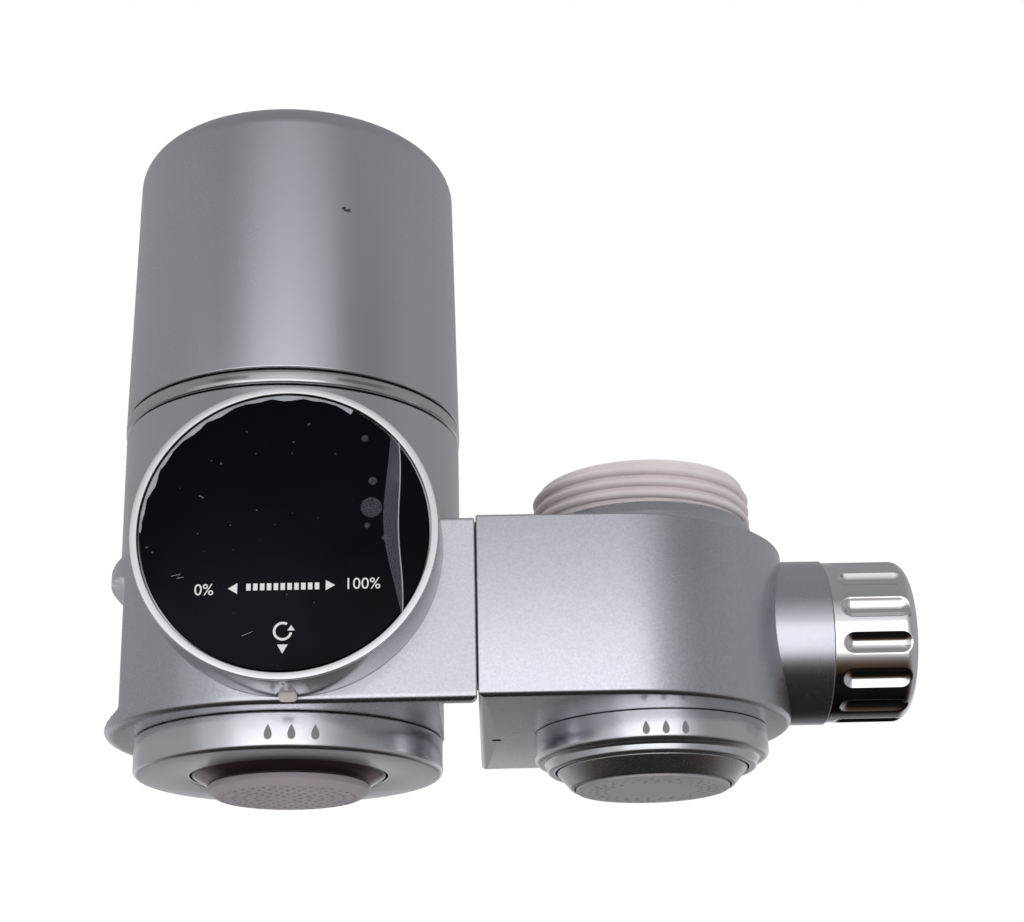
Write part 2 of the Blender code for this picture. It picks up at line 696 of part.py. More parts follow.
def build_valve_body(frames, mats):
    """The D-shaped body, bored for the rotor, the inlet, the outlet and the coupling."""
    frame = frames["valve"]
    left_face = SEAM + SEAM_GAP - FILTER_TO_INLET
    round_x = -VALVE_ROUND_CENTRE
    plan = half_round(round_x, BLOCK_RADIUS, left_face, 1)
    top = VALVE_BOTTOM + VALVE_HEIGHT
    body = prism("valve_body", plan, VALVE_BOTTOM, top, frame, mats["satin_silver"])
    bevel(body, EDGE_BEVEL)
    chamber_low = -ROTOR_LENGTH / 2 - GAP
    chamber = revolve(
        "rotor_chamber_cutter",
        [
            (0, left_face - 2),
            (COUPLING_RADIUS + GAP, left_face - 2),
            (COUPLING_RADIUS + GAP, left_face + COUPLING_REACH),
            (COUPLING_RADIUS - COUPLING_WALL, left_face + COUPLING_REACH),
            (COUPLING_RADIUS - COUPLING_WALL, chamber_low),
            (ROTOR_RADIUS + GAP, chamber_low),
            (ROTOR_RADIUS + GAP, round_x + BLOCK_RADIUS + 2),
            (0, round_x + BLOCK_RADIUS + 2),
        ],
        frames["knob"],
        segments=ROUND,
    )
    inlet = revolve(
        "inlet_bore_cutter",
        [
            (0, CROSS_AXIS_HEIGHT),
            (PORT_RADIUS, CROSS_AXIS_HEIGHT),
            (PORT_RADIUS, top - 3.0),
            (SEAT_RADIUS, top - 3.0),
            (SEAT_RADIUS, top + 3),
            (0, top + 3),
        ],
        frame,
        segments=ROUND,
    )
    outlet = revolve(
        "original_bore_cutter",
        [
            (0, VALVE_BOTTOM - 3),
            (ORIGINAL_PLATE_RADIUS - 2, VALVE_BOTTOM - 3),
            (ORIGINAL_PLATE_RADIUS - 2, VALVE_BOTTOM + 3),
            (PORT_RADIUS, VALVE_BOTTOM + 3),
            (PORT_RADIUS, CROSS_AXIS_HEIGHT),
            (0, CROSS_AXIS_HEIGHT),
        ],
        frame,
        segments=ROUND,
    )
    pin_hole = rod(
        "pin_hole_cutter", 0.8, VALVE_BOTTOM - 1, VALVE_BOTTOM + 2.5, frame,
        segments=12, centre=(left_face + 3.0, 3.5),
    )
    cut(body, chamber, inlet, outlet, pin_hole)
    return body


def build_rotor(frames, mats):
    """The drum that sends water down past its flat, or through its hollow to the filter."""
    frame = frames["knob"]
    half = ROTOR_LENGTH / 2
    rotor = rod("valve_rotor", ROTOR_RADIUS, -half, half, frame, mats["white_plastic"], ROUND)
    # In the knob's frame local -X is up and local +Y is the rear.
    relief = box(
        "rotor_relief_cutter",
        (-ROTOR_RADIUS - 2, ROTOR_RADIUS * 0.42, -PORT_RADIUS),
        (ROTOR_RADIUS + 2, ROTOR_RADIUS + 2, PORT_RADIUS),
        frame,
    )
    port = ROTOR_BORE * 0.6
    axial = rod("rotor_axial_cutter", port, -half - 2, port / 2, frame, segments=16)
    radial_frame = bpy.data.objects.new("rotor_port_axis", None)
    bpy.context.scene.collection.objects.link(radial_frame)
    radial_frame.parent = frame
    radial_frame.rotation_euler = (math.radians(90), 0, 0)
    radial = rod("rotor_radial_cutter", port, 0, ROTOR_RADIUS + 2, radial_frame, segments=16)
    square = SPINDLE_RADIUS * 0.6 + GAP
    socket_end = half - TANG_LENGTH - 0.5
    socket = box(
        "rotor_socket_cutter", (-square, -square, socket_end), (square, square, half + 2), frame
    )
    cut(rotor, relief, axial, radial, socket)


def build_neck(frames, mats):
    frame = frames["knob"]
    end = KNOB_START - GAP
    round_x = -VALVE_ROUND_CENTRE
    bore = SPINDLE_RADIUS + GAP
    sleeve = tube(
        "neck_sleeve", bore, NECK_RADIUS, round_x + BLOCK_RADIUS - NECK_OVERLAP, end,
        frame, mats["satin_silver"],
    )
    saddle = rod(
        "saddle_cutter", BLOCK_RADIUS + GAP,
        CROSS_AXIS_HEIGHT - 1.5 * NECK_RADIUS, CROSS_AXIS_HEIGHT + 1.5 * NECK_RADIUS,
        frames["valve"], segments=WIDE, centre=(round_x, 0),
    )
    cut(sleeve, saddle)
    spigot_start = ROTOR_LENGTH / 2 + GAP
    groove = (spigot_start + round_x + BLOCK_RADIUS) / 2 - 2
    outer = ROTOR_RADIUS
    spigot = revolve(
        "neck_spigot_form",
        [
            (bore, spigot_start),
            (outer, spigot_start),
            (outer, groove - 0.8),
            (outer - 0.9, groove - 0.7),
            (outer - 0.9, groove + 0.7),
            (outer, groove + 0.8),
            (outer, end - 3),
            (bore, end - 3),
        ],
        frame,
    )
    join(sleeve, spigot)
    o_ring("neck_seal", outer - 0.9, 0.9, groove, frame, mats["rubber"], ROUND)


def capsule(name, radius, start, end, centre_radius, angle, frame, steps=8):
    """A round-ended rod beside the frame's axis, used to scoop one flute."""
    quarter = steps // 4
    profile = [(0, start - radius)]
    profile += arc((0, start), radius, -90, 0, quarter)[1:]
    profile += arc((0, end), radius, 0, 90, quarter)[:-1]
    profile += [(0, end + radius)]
    centre = (centre_radius * math.cos(angle), centre_radius * math.sin(angle))
    return revolve(name, profile, frame, segments=steps, centre=centre)


def build_knob(frames, mats):
    """The knob with its round-ended flutes, hollow behind and driven by a square spindle."""
    frame = frames["knob"]
    start = KNOB_START
    end = KNOB_START + KNOB_LENGTH
    corner = (KNOB_RADIUS - KNOB_EDGE_RADIUS, end - KNOB_EDGE_RADIUS)
    cavity = KNOB_RADIUS - 2.6
    hub = SPINDLE_RADIUS + 2.6
    bore = SPINDLE_RADIUS + GAP
    web = end - 3.0
    profile = [
        (bore, start + 1.2),
        (hub, start + 1.2),
        (hub, web),
        (cavity, web),
        (cavity, start),
        (KNOB_RADIUS - 0.3, start),
        (KNOB_RADIUS, start + 0.3),
        *arc(corner, KNOB_EDGE_RADIUS, 0, 90, 3),
        (0, end),
        (0, web),
        (bore, web),
    ]
    knob = revolve("selector_knob", profile, frame, mats["chrome"], 3 * FLUTES)
    half_width = FLUTE_WIDTH / 2
    scoop = (half_width**2 + FLUTE_DEPTH**2) / (2 * FLUTE_DEPTH)
    first = start + 1.6 + half_width
    last = end - half_width - 1.4
    for i in range(FLUTES):
        angle = FLUTE_TURN + 2 * math.pi * i / FLUTES
        cutter = capsule(
            f"flute_cutter_{i:02d}", scoop, first, last,
            KNOB_RADIUS + scoop - FLUTE_DEPTH, angle, frame,
        )
        cut(knob, cutter)
    spindle_start = ROTOR_LENGTH / 2 - TANG_LENGTH
    flank = SPINDLE_RADIUS * 0.6
    seal = start - 5
    spindle = revolve(
        "valve_spindle",
        [
            (0, ROTOR_LENGTH / 2 + GAP),
            (SPINDLE_RADIUS, ROTOR_LENGTH / 2 + GAP),
            (SPINDLE_RADIUS, seal - 0.7),
            (SPINDLE_RADIUS - 0.7, seal - 0.6),
            (SPINDLE_RADIUS - 0.7, seal + 0.6),
            (SPINDLE_RADIUS, seal + 0.7),
            (SPINDLE_RADIUS, web - GAP),
            (0, web - GAP),
        ],
        frame,
        mats["brass"],
        SMALL,
    )
    tang = box(
        "spindle_tang_form",
        (-flank, -flank, spindle_start),
        (flank, flank, ROTOR_LENGTH / 2 + 2),
        frame,
    )
    join(spindle, tang)
    o_ring("spindle_seal", SPINDLE_RADIUS - 0.7, 0.7, seal, frame, mats["rubber"])


def build_inlet(frames, mats):
    frame = frames["valve"]
    body_top = VALVE_BOTTOM + VALVE_HEIGHT
    spigot = SEAT_RADIUS - GAP
    collar_low = body_top + GAP
    tube_low = body_top - 3.0 + GAP
    collar_profile = [
        (spigot + GAP, collar_low),
        (COLLAR_RADIUS + COLLAR_FLARE, collar_low),
        (COLLAR_RADIUS + COLLAR_FLARE * 0.5, COLLAR_TOP - 1.6),
        (COLLAR_RADIUS, COLLAR_TOP),
        (spigot + GAP, COLLAR_TOP),
    ]
    revolve("inlet_collar", collar_profile, frame, mats["satin_silver"])
    build_thread(frame, mats["inlet_plastic"], COLLAR_TOP + GAP, spigot, tube_low)
    rim = INLET_RIM_HEIGHT
    strainer_low = rim - SEAT_DEPTH + GAP
    strainer_top = strainer_low + STRAINER_THICKNESS
    strainer = rod(
        "inlet_strainer", SEAT_RADIUS - GAP, strainer_low, strainer_top,
        frame, mats["steel"], ROUND,
    )
    mesh_holes = hole_field(
        "strainer_holes_cutter", [(INLET_BORE / 3, 4), (INLET_BORE * 0.8, 8)], INLET_BORE / 6,
        strainer_low - 1, strainer_low + 2, frame, 5,
    )
    cut(strainer, mesh_holes)
    tube(
        "inlet_washer", INLET_BORE - 1.0, SEAT_RADIUS - GAP, strainer_top + GAP,
        rim - 0.6, frame, mats["rubber"], ROUND,
    )


def build_thread(frame, mat, low, spigot, tube_low):
    """The threaded tube. Its outer grid is wound: each row climbs one pitch in a turn.

    A row's last column meets the row one pitch further up at the first column, so the ridge
    is a true helix. The wedges left at both ends are closed by one face each.
    """
    rim = INLET_RIM_HEIGHT
    root = THREAD_RADIUS - THREAD_DEPTH
    top = rim - 0.5
    around = ROUND + 4
    section = [(0.1, root), (0.45, THREAD_RADIUS), (0.7, THREAD_RADIUS)]
    each = len(section)
    turns = int((top - low - 0.3) / THREAD_PITCH)
    rows = each * (turns - 1) + 1
    start = low + (top - low - turns * THREAD_PITCH) / 2
    bm = bmesh.new()

    def ring(radius, height):
        made = []
        for i in range(around):
            angle = 2 * math.pi * i / around
            corner = (radius * math.cos(angle), radius * math.sin(angle), height)
            made.append(bm.verts.new(corner))
        return made

    def wound_row(row):
        share, radius = section[row % each]
        made = []
        for i in range(around):
            angle = 2 * math.pi * i / around
            height = start + THREAD_PITCH * (row // each + share + i / around)
            corner = (radius * math.cos(angle), radius * math.sin(angle), height)
            made.append(bm.verts.new(corner))
        return made

    seat_low = rim - SEAT_DEPTH
    under = [ring(spigot, tube_low), ring(spigot, low - 0.3), ring(root, low - 0.3)]
    over = [
        ring(root, top),
        ring(THREAD_RIM_RADIUS, rim),
        ring(SEAT_RADIUS, rim),
        ring(SEAT_RADIUS, seat_low),
        ring(INLET_BORE, seat_low),
        ring(INLET_BORE, tube_low),
    ]
    wound = [wound_row(row) for row in range(rows)]

    def strip(lower, upper, columns=around):
        for i in range(columns):
            j = (i + 1) % around
            bm.faces.new((lower[i], lower[j], upper[j], upper[i]))

    for lower, upper in zip(under, under[1:]):
        strip(lower, upper)
    for lower, upper in zip(over, over[1:] + under[:1]):
        strip(lower, upper)
    last = around - 1
    for lower, upper in zip([under[-1]] + wound, wound + [over[0]]):
        strip(lower, upper, last)
    for row in range(rows - each - 1):
        lower, upper = wound[row], wound[row + 1]
        beyond = wound[row + each], wound[row + each + 1]
        bm.faces.new((lower[last], beyond[0][0], beyond[1][0], upper[last]))
    first_step = [row[0] for row in wound[:each + 1]]
    bm.faces.new([under[-1][last], under[-1][0], *first_step, wound[0][last]])
    last_step = [row[last] for row in wound[rows - each - 1:]]
    bm.faces.new([*last_step, over[0][last], over[0][0], wound[-1][0]])
    return add("inlet_thread", bm, frame, mat)


def hole_field(name, rings, radius, low, high, frame, sides=6):
    """One cutter holding a rod for every hole; rings lists (ring radius, count)."""
    bm = bmesh.new()
    for ring_radius, count in rings:
        for i in range(count):
            angle = 2 * math.pi * (i + 0.5) / count
            x, y = ring_radius * math.cos(angle), ring_radius * math.sin(angle)
            loop = []
            for k in range(sides):
                turn = 2 * math.pi * k / sides
                corner = (x + radius * math.cos(turn), y + radius * math.sin(turn), low)
                loop.append(bm.verts.new(corner))
            base = bm.faces.new(loop)
            raised = bmesh.ops.extrude_face_region(bm, geom=[base])["geom"]
            lifted = [v for v in raised if isinstance(v, bmesh.types.BMVert)]
            bmesh.ops.translate(bm, vec=(0, 0, high - low), verts=lifted)
    return add(name, bm, frame)


def build_original_outlet(frames, mats):
    frame = frames["valve"]
    top = VALVE_BOTTOM - GAP
    low = -ORIGINAL_HEIGHT
    seat = ORIGINAL_SEAT
    radius = ORIGINAL_RADIUS
    shoulder = low + 1.7
    ring_profile = [
        (ORIGINAL_PLATE_RADIUS - 3, top),
        (radius, top),
        *arc((radius - 1.2, shoulder + 1.2), 1.2, 0, -90, 2),
        (radius - 1.7, shoulder),
        (radius - 2.0, shoulder - 0.35),
        *arc((radius - 2.4, low + 0.9), 0.9, 0, -90, 2),
        (seat, low),
        (seat, low + 3.2),
        (ORIGINAL_PLATE_RADIUS - 3, low + 3.2),
    ]
    revolve("original_ring", ring_profile, frame, mats["satin_silver"])
    tube(
        "original_gasket", PORT_RADIUS + 1.5, ORIGINAL_PLATE_RADIUS - 3 - GAP, top - 2.0, top + 1.5,
        frame, mats["rubber"], SMALL,
    )
    plate_top = -ORIGINAL_PLATE_DROP + 1.6
    cone_high = low + 3.2 - GAP
    outer = seat - GAP
    cone_profile = [
        (ORIGINAL_PLATE_RADIUS - 2.5, cone_high),
        (outer, cone_high),
        (outer, low),
        (ORIGINAL_PLATE_RADIUS + 0.9, -ORIGINAL_PLATE_DROP + 0.7),
        (ORIGINAL_PLATE_RADIUS + GAP, -ORIGINAL_PLATE_DROP + 0.5),
        (ORIGINAL_PLATE_RADIUS + GAP, plate_top + GAP),
        (ORIGINAL_PLATE_RADIUS - 2.5, plate_top + GAP),
    ]
    revolve("original_cone", cone_profile, frame, mats["dark_satin"])
    plate_low = -ORIGINAL_PLATE_DROP
    plate_profile = [
        (0, plate_low),
        (ORIGINAL_PLATE_RADIUS - 0.5, plate_low),
        (ORIGINAL_PLATE_RADIUS, plate_low + 0.5),
        (ORIGINAL_PLATE_RADIUS, plate_top),
        (0, plate_top),
    ]
    plate = revolve("original_spray_plate", plate_profile, frame, mats["grey_plastic"])
    holes = hole_field(
        "original_holes_cutter", [(10.9, 16), (8.9, 8)], SPRAY_HOLE_RADIUS,
        plate_low - 1, plate_top + 1, frame, 4,
    )
    cut(plate, holes)


def build_filtered_outlet(frames, mats):
    frame = frames["filter"]
    low = -FILTERED_HEIGHT
    radius = FILTERED_RADIUS
    edge = FILTERED_EDGE_RADIUS
    opening = FILTERED_OPENING
    neck = FILTERED_PLATE_RADIUS - 2 - GAP
    roof = -2.2
    ring_profile = [
        (neck - 1.6, 3.0),
        (neck, 3.0),
        (neck, -GAP),
        (radius, -GAP),
        *arc((radius - edge, low + edge), edge, 0, -90, 2),
        (opening, low),
        (opening, roof),
        (neck - 1.6, roof),
    ]
    revolve("filtered_ring", ring_profile, frame, mats["satin_silver"], WIDE)
    tube(
        "filtered_gasket", ROTOR_BORE + 1.2, neck, 3.0 + GAP, 3.0 + GAP + 2.0,
        frame, mats["rubber"], SMALL,
    )
    plate_low = -FILTERED_PLATE_DROP
    plate_high = plate_low + 1.9
    outer = opening - GAP
    plate = FILTERED_PLATE_RADIUS
    nozzle_profile = [
        (plate - 2.2, roof - GAP),
        (outer, roof - GAP),
        (outer, low + 0.2),
        (plate + 0.5, plate_high + GAP),
        (plate - 2.2, plate_high + GAP),
        (plate - 2.2, plate_high + GAP + 1.2),
        (plate - 0.6, plate_high + GAP + 1.2),
        (outer - 1.6, low + 1.4),
        (outer - 1.6, roof - GAP - 1.4),
        (plate - 2.2, roof - GAP - 1.4),
    ]
    revolve("filtered_nozzle", nozzle_profile, frame, mats["clear_plastic"])
    plate_profile = [
        (0, plate_low),
        (plate - 1.6, plate_low),
        (plate - 0.6, plate_low + 0.35),
        (plate, plate_low + 1.0),
        (plate, plate_high - 0.3),
        (plate - 0.3, plate_high),
        (0, plate_high),
    ]
    made = revolve("filtered_spray_plate", plate_profile, frame, mats["spray_plastic"])
    rings = [(3.5, 4), (7.0, 6), (10.5, 10)]
    holes = hole_field(
        "filtered_holes_cutter", rings, SPRAY_HOLE_RADIUS, plate_low - 1, plate_high + 1, frame, 4
    )
    cut(made, holes)


def main():
    clear_scene()
    mats = build_materials()
    frames = build_frames()
    build_filter_housing(frames, mats)
    build_cover(frames, mats)
    build_cartridge(frames, mats)
    build_display(frames, mats)
    build_battery_bay(frames, mats)
    build_coupling(frames, mats)
    build_valve_body(frames, mats)
    build_rotor(frames, mats)
    build_neck(frames, mats)
    build_knob(frames, mats)
    build_inlet(frames, mats)
    build_original_outlet(frames, mats)
    build_filtered_outlet(frames, mats)
    sharpen_cut_edges()


main()
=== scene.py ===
"""Looks for a faucet mount water filter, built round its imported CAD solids.

Lengths are written in millimetres and turned to metres as each mesh is made. The origin is
the centre of the threaded inlet's rim, +Z points up and -Y is the display side.
"""

from __future__ import annotations

import json
import logging
import math
import random
from dataclasses import dataclass
from enum import Enum
from typing import Callable, Iterable, Sequence

import bmesh
import bpy
import numpy as np
from mathutils import Matrix, Vector

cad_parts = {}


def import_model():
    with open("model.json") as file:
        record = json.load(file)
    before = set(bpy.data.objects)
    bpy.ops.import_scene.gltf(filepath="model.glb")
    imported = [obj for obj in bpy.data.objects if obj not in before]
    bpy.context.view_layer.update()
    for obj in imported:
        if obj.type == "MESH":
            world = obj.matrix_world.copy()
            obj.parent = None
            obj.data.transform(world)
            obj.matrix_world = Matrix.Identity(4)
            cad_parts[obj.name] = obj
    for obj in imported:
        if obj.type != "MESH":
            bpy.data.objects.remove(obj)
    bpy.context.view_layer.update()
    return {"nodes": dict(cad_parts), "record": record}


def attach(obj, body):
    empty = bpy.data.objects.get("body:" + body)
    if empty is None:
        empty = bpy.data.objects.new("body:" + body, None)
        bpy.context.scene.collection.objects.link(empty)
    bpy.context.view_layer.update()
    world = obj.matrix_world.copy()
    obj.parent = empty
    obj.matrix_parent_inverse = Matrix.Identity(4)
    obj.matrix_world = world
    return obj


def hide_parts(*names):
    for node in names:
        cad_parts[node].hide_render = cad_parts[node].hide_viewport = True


log = logging.getLogger("water_filter")
MM = 0.001
Profile = Sequence[tuple[float, ...]]
Colour = tuple[float, float, float] | bpy.types.NodeSocket


class Facing(Enum):
    """Where the local +Z of a sub-assembly looks."""

    UP = Matrix.Identity(4)
    FRONT = Matrix.Rotation(math.radians(90), 4, "X")
    RIGHT = Matrix.Rotation(math.radians(90), 4, "Y")
    LEFT = Matrix.Rotation(math.radians(-90), 4, "Y")


class Body(Enum):
    """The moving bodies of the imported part."""

    FIXED = "filter_unit"
    SELECTOR = "selector"
    COVER = "cover"
    BATTERY_DOOR = "battery_door"
    RESET = "reset"


@dataclass(frozen=True)
class Seat:
    """A local frame: an origin in millimetres and the way its +Z looks."""

    x: float
    y: float
    z: float
    facing: Facing = Facing.UP

    def place(self, points: np.ndarray) -> np.ndarray:
        """Moves local millimetre points to world metres.

        Args:
            points: An N by 3 array.

        Returns:
            The world points, N by 3.
        """
        turn = np.array(self.facing.value.to_3x3())
        return (points @ turn.T + np.array([self.x, self.y, self.z])) * MM


FILTER = Seat(-65.9, 0.0, -46.9)
VALVE = Seat(0.0, 0.0, -46.9)
KNOB = Seat(0.0, 0.0, -29.9, Facing.RIGHT)
COUPLING = Seat(-65.9, 0.0, -29.9, Facing.RIGHT)
BATTERY = Seat(-65.9, 0.0, -31.95, Facing.LEFT)
DISPLAY = Seat(-62.2, -33.0, -20.5, Facing.FRONT)
VALVE_SIDE = Seat(-31.2, 0.0, -29.9, Facing.RIGHT)
COUPLING_BORE = 6.7


# Shader expressions


class Value:
    """A number socket that can be used in Python arithmetic."""

    def __init__(self, tree: "ShaderTree", socket: bpy.types.NodeSocket) -> None:
        """Wraps the socket of a node in the tree."""
        self.tree = tree
        self.socket = socket

    def _math(self, operation: str, *others: "Value | float", clamp: bool = False) -> "Value":
        """Adds one Math node with this value as its first input."""
        settings = {"operation": operation, "use_clamp": clamp}
        made = self.tree.node("ShaderNodeMath", settings, dict(enumerate((self, *others))))
        return Value(self.tree, made.outputs[0])

    def __add__(self, other: "Value | float") -> "Value":
        """Sum."""
        return self._math("ADD", other)

    def __radd__(self, other: float) -> "Value":
        """Sum with a number on the left."""
        return self._math("ADD", other)

    def __sub__(self, other: "Value | float") -> "Value":
        """Difference."""
        return self._math("SUBTRACT", other)

    def __rsub__(self, other: float) -> "Value":
        """A number less this value."""
        return self.tree.number(other)._math("SUBTRACT", self)

    def __mul__(self, other: "Value | float") -> "Value":
        """Product."""
        return self._math("MULTIPLY", other)

    def __rmul__(self, other: float) -> "Value":
        """Product with a number on the left."""
        return self._math("MULTIPLY", other)

    def above(self, limit: float) -> "Value":
        """1 where the value is over the limit, else 0.

        Args:
            limit: The limit.

        Returns:
            The mask.
        """
        return self._math("GREATER_THAN", limit)

    def magnitude(self) -> "Value":
        """The value without its sign."""
        return self._math("ABSOLUTE")

    def clamped(self) -> "Value":
        """The value kept between 0 and 1."""
        return self._math("ADD", 0.0, clamp=True)

    def band(
        self, low: float, high: float, out_low: float = 0.0, out_high: float = 1.0
    ) -> "Value":
        """Smoothly maps low..high to out_low..out_high.

        Args:
            low: Input at which the result is out_low.
            high: Input at which the result is out_high.
            out_low: First result.
            out_high: Second result.

        Returns:
            The mapped value.
        """
        made = self.tree.node(
            "ShaderNodeMapRange",
            {"interpolation_type": "SMOOTHSTEP", "clamp": True},
            {0: self, 1: low, 2: high, 3: out_low, 4: out_high},
        )
        return Value(self.tree, made.outputs[0])


class ShaderTree:
    """The node tree of a material or the world, written with Python expressions."""

    def __init__(self, owner: bpy.types.Material | bpy.types.World, space: str = "Object") -> None:
        """Empties the owner's tree.

        Args:
            owner: The material or world.
            space: Which of its coordinates the patterns read.
        """
        owner.use_nodes = True
        self.tree = owner.node_tree
        self.tree.nodes.clear()
        self.coordinates = self.node("ShaderNodeTexCoord").outputs[space]

    def node(
        self, kind: str, settings: dict | None = None, inputs: dict | None = None
    ) -> bpy.types.Node:
        """Adds any node.

        Args:
            kind: The node's type name.
            settings: Properties, set before the sockets.
            inputs: Values, sockets or Value objects by socket name or number.

        Returns:
            The node.
        """
        made = self.tree.nodes.new(kind)
        for name, value in (settings or {}).items():
            setattr(made, name, value)
        for key, value in (inputs or {}).items():
            target = made.inputs[key]
            if isinstance(value, Value):
                self.tree.links.new(value.socket, target)
            elif isinstance(value, bpy.types.NodeSocket):
                self.tree.links.new(value, target)
            else:
                target.default_value = value
        return made

    def number(self, value: float) -> Value:
        """A constant as a socket.

        Args:
            value: The constant.

        Returns:
            Its value.
        """
        made = self.node("ShaderNodeValue")
        made.outputs[0].default_value = value
        return Value(self, made.outputs[0])

    def noise(
        self, scale: float, detail: float = 2.0, stretch: tuple[float, float, float] = (1, 1, 1)
    ) -> Value:
        """Soft noise of the object's own space, scale in features per metre.

        Args:
            scale: Features per metre.
            detail: Octaves.
            stretch: Factors on the three axes.

        Returns:
            The noise, 0 to 1.
        """
        mapped = self.node(
            "ShaderNodeMapping", None, {"Vector": self.coordinates, "Scale": stretch}
        )
        made = self.node(
            "ShaderNodeTexNoise",
            None,
            {"Vector": mapped.outputs[0], "Scale": scale, "Detail": detail},
        )
        return Value(self, made.outputs[0])

    def grains(self, scale: float) -> Value:
        """One random number for each small cell of the object's own space.

        Args:
            scale: Cells per metre.

        Returns:
            The numbers, 0 to 1.
        """
        cells = self.node(
            "ShaderNodeTexVoronoi", None, {"Vector": self.coordinates, "Scale": scale}
        )
        split = self.node("ShaderNodeSeparateColor", None, {"Color": cells.outputs["Color"]})
        return Value(self, split.outputs[0])

    def axis(self, name: str) -> Value:
        """One coordinate of the object's own space, in metres.

        Args:
            name: X, Y or Z.

        Returns:
            The coordinate.
        """
        split = self.node("ShaderNodeSeparateXYZ", None, {"Vector": self.coordinates})
        return Value(self, split.outputs[name])

    def blend(
        self, factor: "Value | float", first: Colour, second: Colour
    ) -> bpy.types.NodeSocket:
        """Mixes two colours.

        Args:
            factor: 0 gives the first colour, 1 the second.
            first: A colour or a colour socket.
            second: A colour or a colour socket.

        Returns:
            The colour socket.
        """
        low, high = (
            colour if isinstance(colour, bpy.types.NodeSocket) else (*colour, 1.0)
            for colour in (first, second)
        )
        made = self.node("ShaderNodeMix", {"data_type": "RGBA"}, {0: factor, 6: low, 7: high})
        return made.outputs[2]

    def bump(self, height: Value, strength: float, distance_mm: float) -> bpy.types.NodeSocket:
        """A normal from a height value.

        Args:
            height: The height pattern.
            strength: Share of the effect.
            distance_mm: Depth of the relief in millimetres.

        Returns:
            The normal socket.
        """
        made = self.node(
            "ShaderNodeBump",
            None,
            {"Height": height, "Strength": strength, "Distance": distance_mm * MM},
        )
        return made.outputs[0]

    def surface(self, **inputs: object) -> bpy.types.Node:
        """Ends the tree in a Principled shader, with names such as base_color.

        Args:
            inputs: Values, sockets or Value objects by socket name.

        Returns:
            The shader node.
        """
        named = {
            key.replace("_", " ").title().replace("Ior", "IOR"): value
            for key, value in inputs.items()
        }
        shader = self.node("ShaderNodeBsdfPrincipled", None, named)
        output = self.node("ShaderNodeOutputMaterial")
        self.tree.links.new(shader.outputs[0], output.inputs[0])
        return shader


# Finishes


@dataclass(frozen=True)
class Finish:
    """A plain moulded or metal finish with slight mottling and fine relief."""

    name: str
    colour: tuple[float, float, float]
    roughness: float
    metallic: float = 0.0
    mottle: float = 0.06
    grain: float = 900.0
    relief_mm: float = 0.01
    coat: float = 0.0

    def make(self) -> bpy.types.Material:
        """Builds the material.

        Returns:
            The material.
        """
        material = bpy.data.materials.new(self.name)
        self.dress(ShaderTree(material))
        return material

    def dress(self, tree: ShaderTree) -> None:
        """Fills the tree.

        Args:
            tree: The empty tree of the material.
        """
        soft = tree.noise(60.0, 3.0)
        fine = tree.noise(self.grain, 2.0)
        dark = tuple(c * (1 - self.mottle) for c in self.colour)
        light = tuple(min(1.0, c * (1 + self.mottle)) for c in self.colour)
        tree.surface(
            base_color=tree.blend(soft.band(0.3, 0.7), dark, light),
            metallic=self.metallic,
            roughness=(fine - 0.5) * 0.08 + self.roughness,
            coat_weight=self.coat,
            coat_roughness=0.08,
            normal=tree.bump(fine, 0.35, self.relief_mm),
        )


@dataclass(frozen=True)
class SatinSilver(Finish):
    """Metallic paint: flakes that catch the light one by one under a thin clear coat."""

    flake: float = 3600.0
    sparkle: float = 0.055

    def dress(self, tree: ShaderTree) -> None:
        """Fills the tree.

        Args:
            tree: The empty tree of the material.
        """
        flake = tree.grains(self.flake)
        cloud = tree.noise(22.0, 3.0)
        dust = tree.noise(420.0, 2.0)
        dark = tuple(c * (1 - self.sparkle) for c in self.colour)
        light = tuple(min(1.0, c * (1 + self.sparkle)) for c in self.colour)
        tree.surface(
            base_color=tree.blend(flake, dark, light),
            metallic=self.metallic,
            roughness=(cloud - 0.5) * 0.03 + (dust - 0.5) * 0.02 + self.roughness,
            coat_weight=self.coat,
            coat_roughness=0.10,
            normal=tree.bump(tree.noise(1800.0, 1.0), 0.08, 0.0015),
        )


@dataclass(frozen=True)
class Plated(Finish):
    """Bright plating with faint waviness and a few rubbed patches."""

    def dress(self, tree: ShaderTree) -> None:
        """Fills the tree.

        Args:
            tree: The empty tree of the material.
        """
        wave = tree.noise(120.0, 1.0)
        rub = tree.noise(300.0, 4.0).band(0.55, 0.75)
        tree.surface(
            base_color=tree.blend(rub, self.colour, tuple(c * 0.93 for c in self.colour)),
            metallic=1.0,
            roughness=rub * 0.06 + self.roughness,
            normal=tree.bump(wave, 0.2, self.relief_mm),
        )


@dataclass(frozen=True)
class DarkGlass(Finish):
    """A polished black window with fine dust, painted lighter and bluish low down as a painted
    reflection.
    """

    painted_sheen_colour: tuple[float, float, float] = (0.012, 0.013, 0.019)
    dust_colour: tuple[float, float, float] = (0.09, 0.09, 0.10)

    def dress(self, tree: ShaderTree) -> None:
        """Fills the tree.

        Args:
            tree: The empty tree of the material.
        """
        height = tree.axis("Z")
        # Painted reflection: the lower part of the window is painted lighter and bluish in soft
        # patches.
        painted_sheen = height.band(-0.004, -0.042) * tree.noise(40.0, 3.0).band(0.35, 0.75)
        glass = tree.blend(painted_sheen * 0.6, self.colour, self.painted_sheen_colour)
        dust = tree.grains(3200.0).above(0.9992)
        tree.surface(
            base_color=tree.blend(dust, glass, self.dust_colour),
            roughness=dust * 0.4 + self.roughness,
            specular_ior_level=0.035,
        )


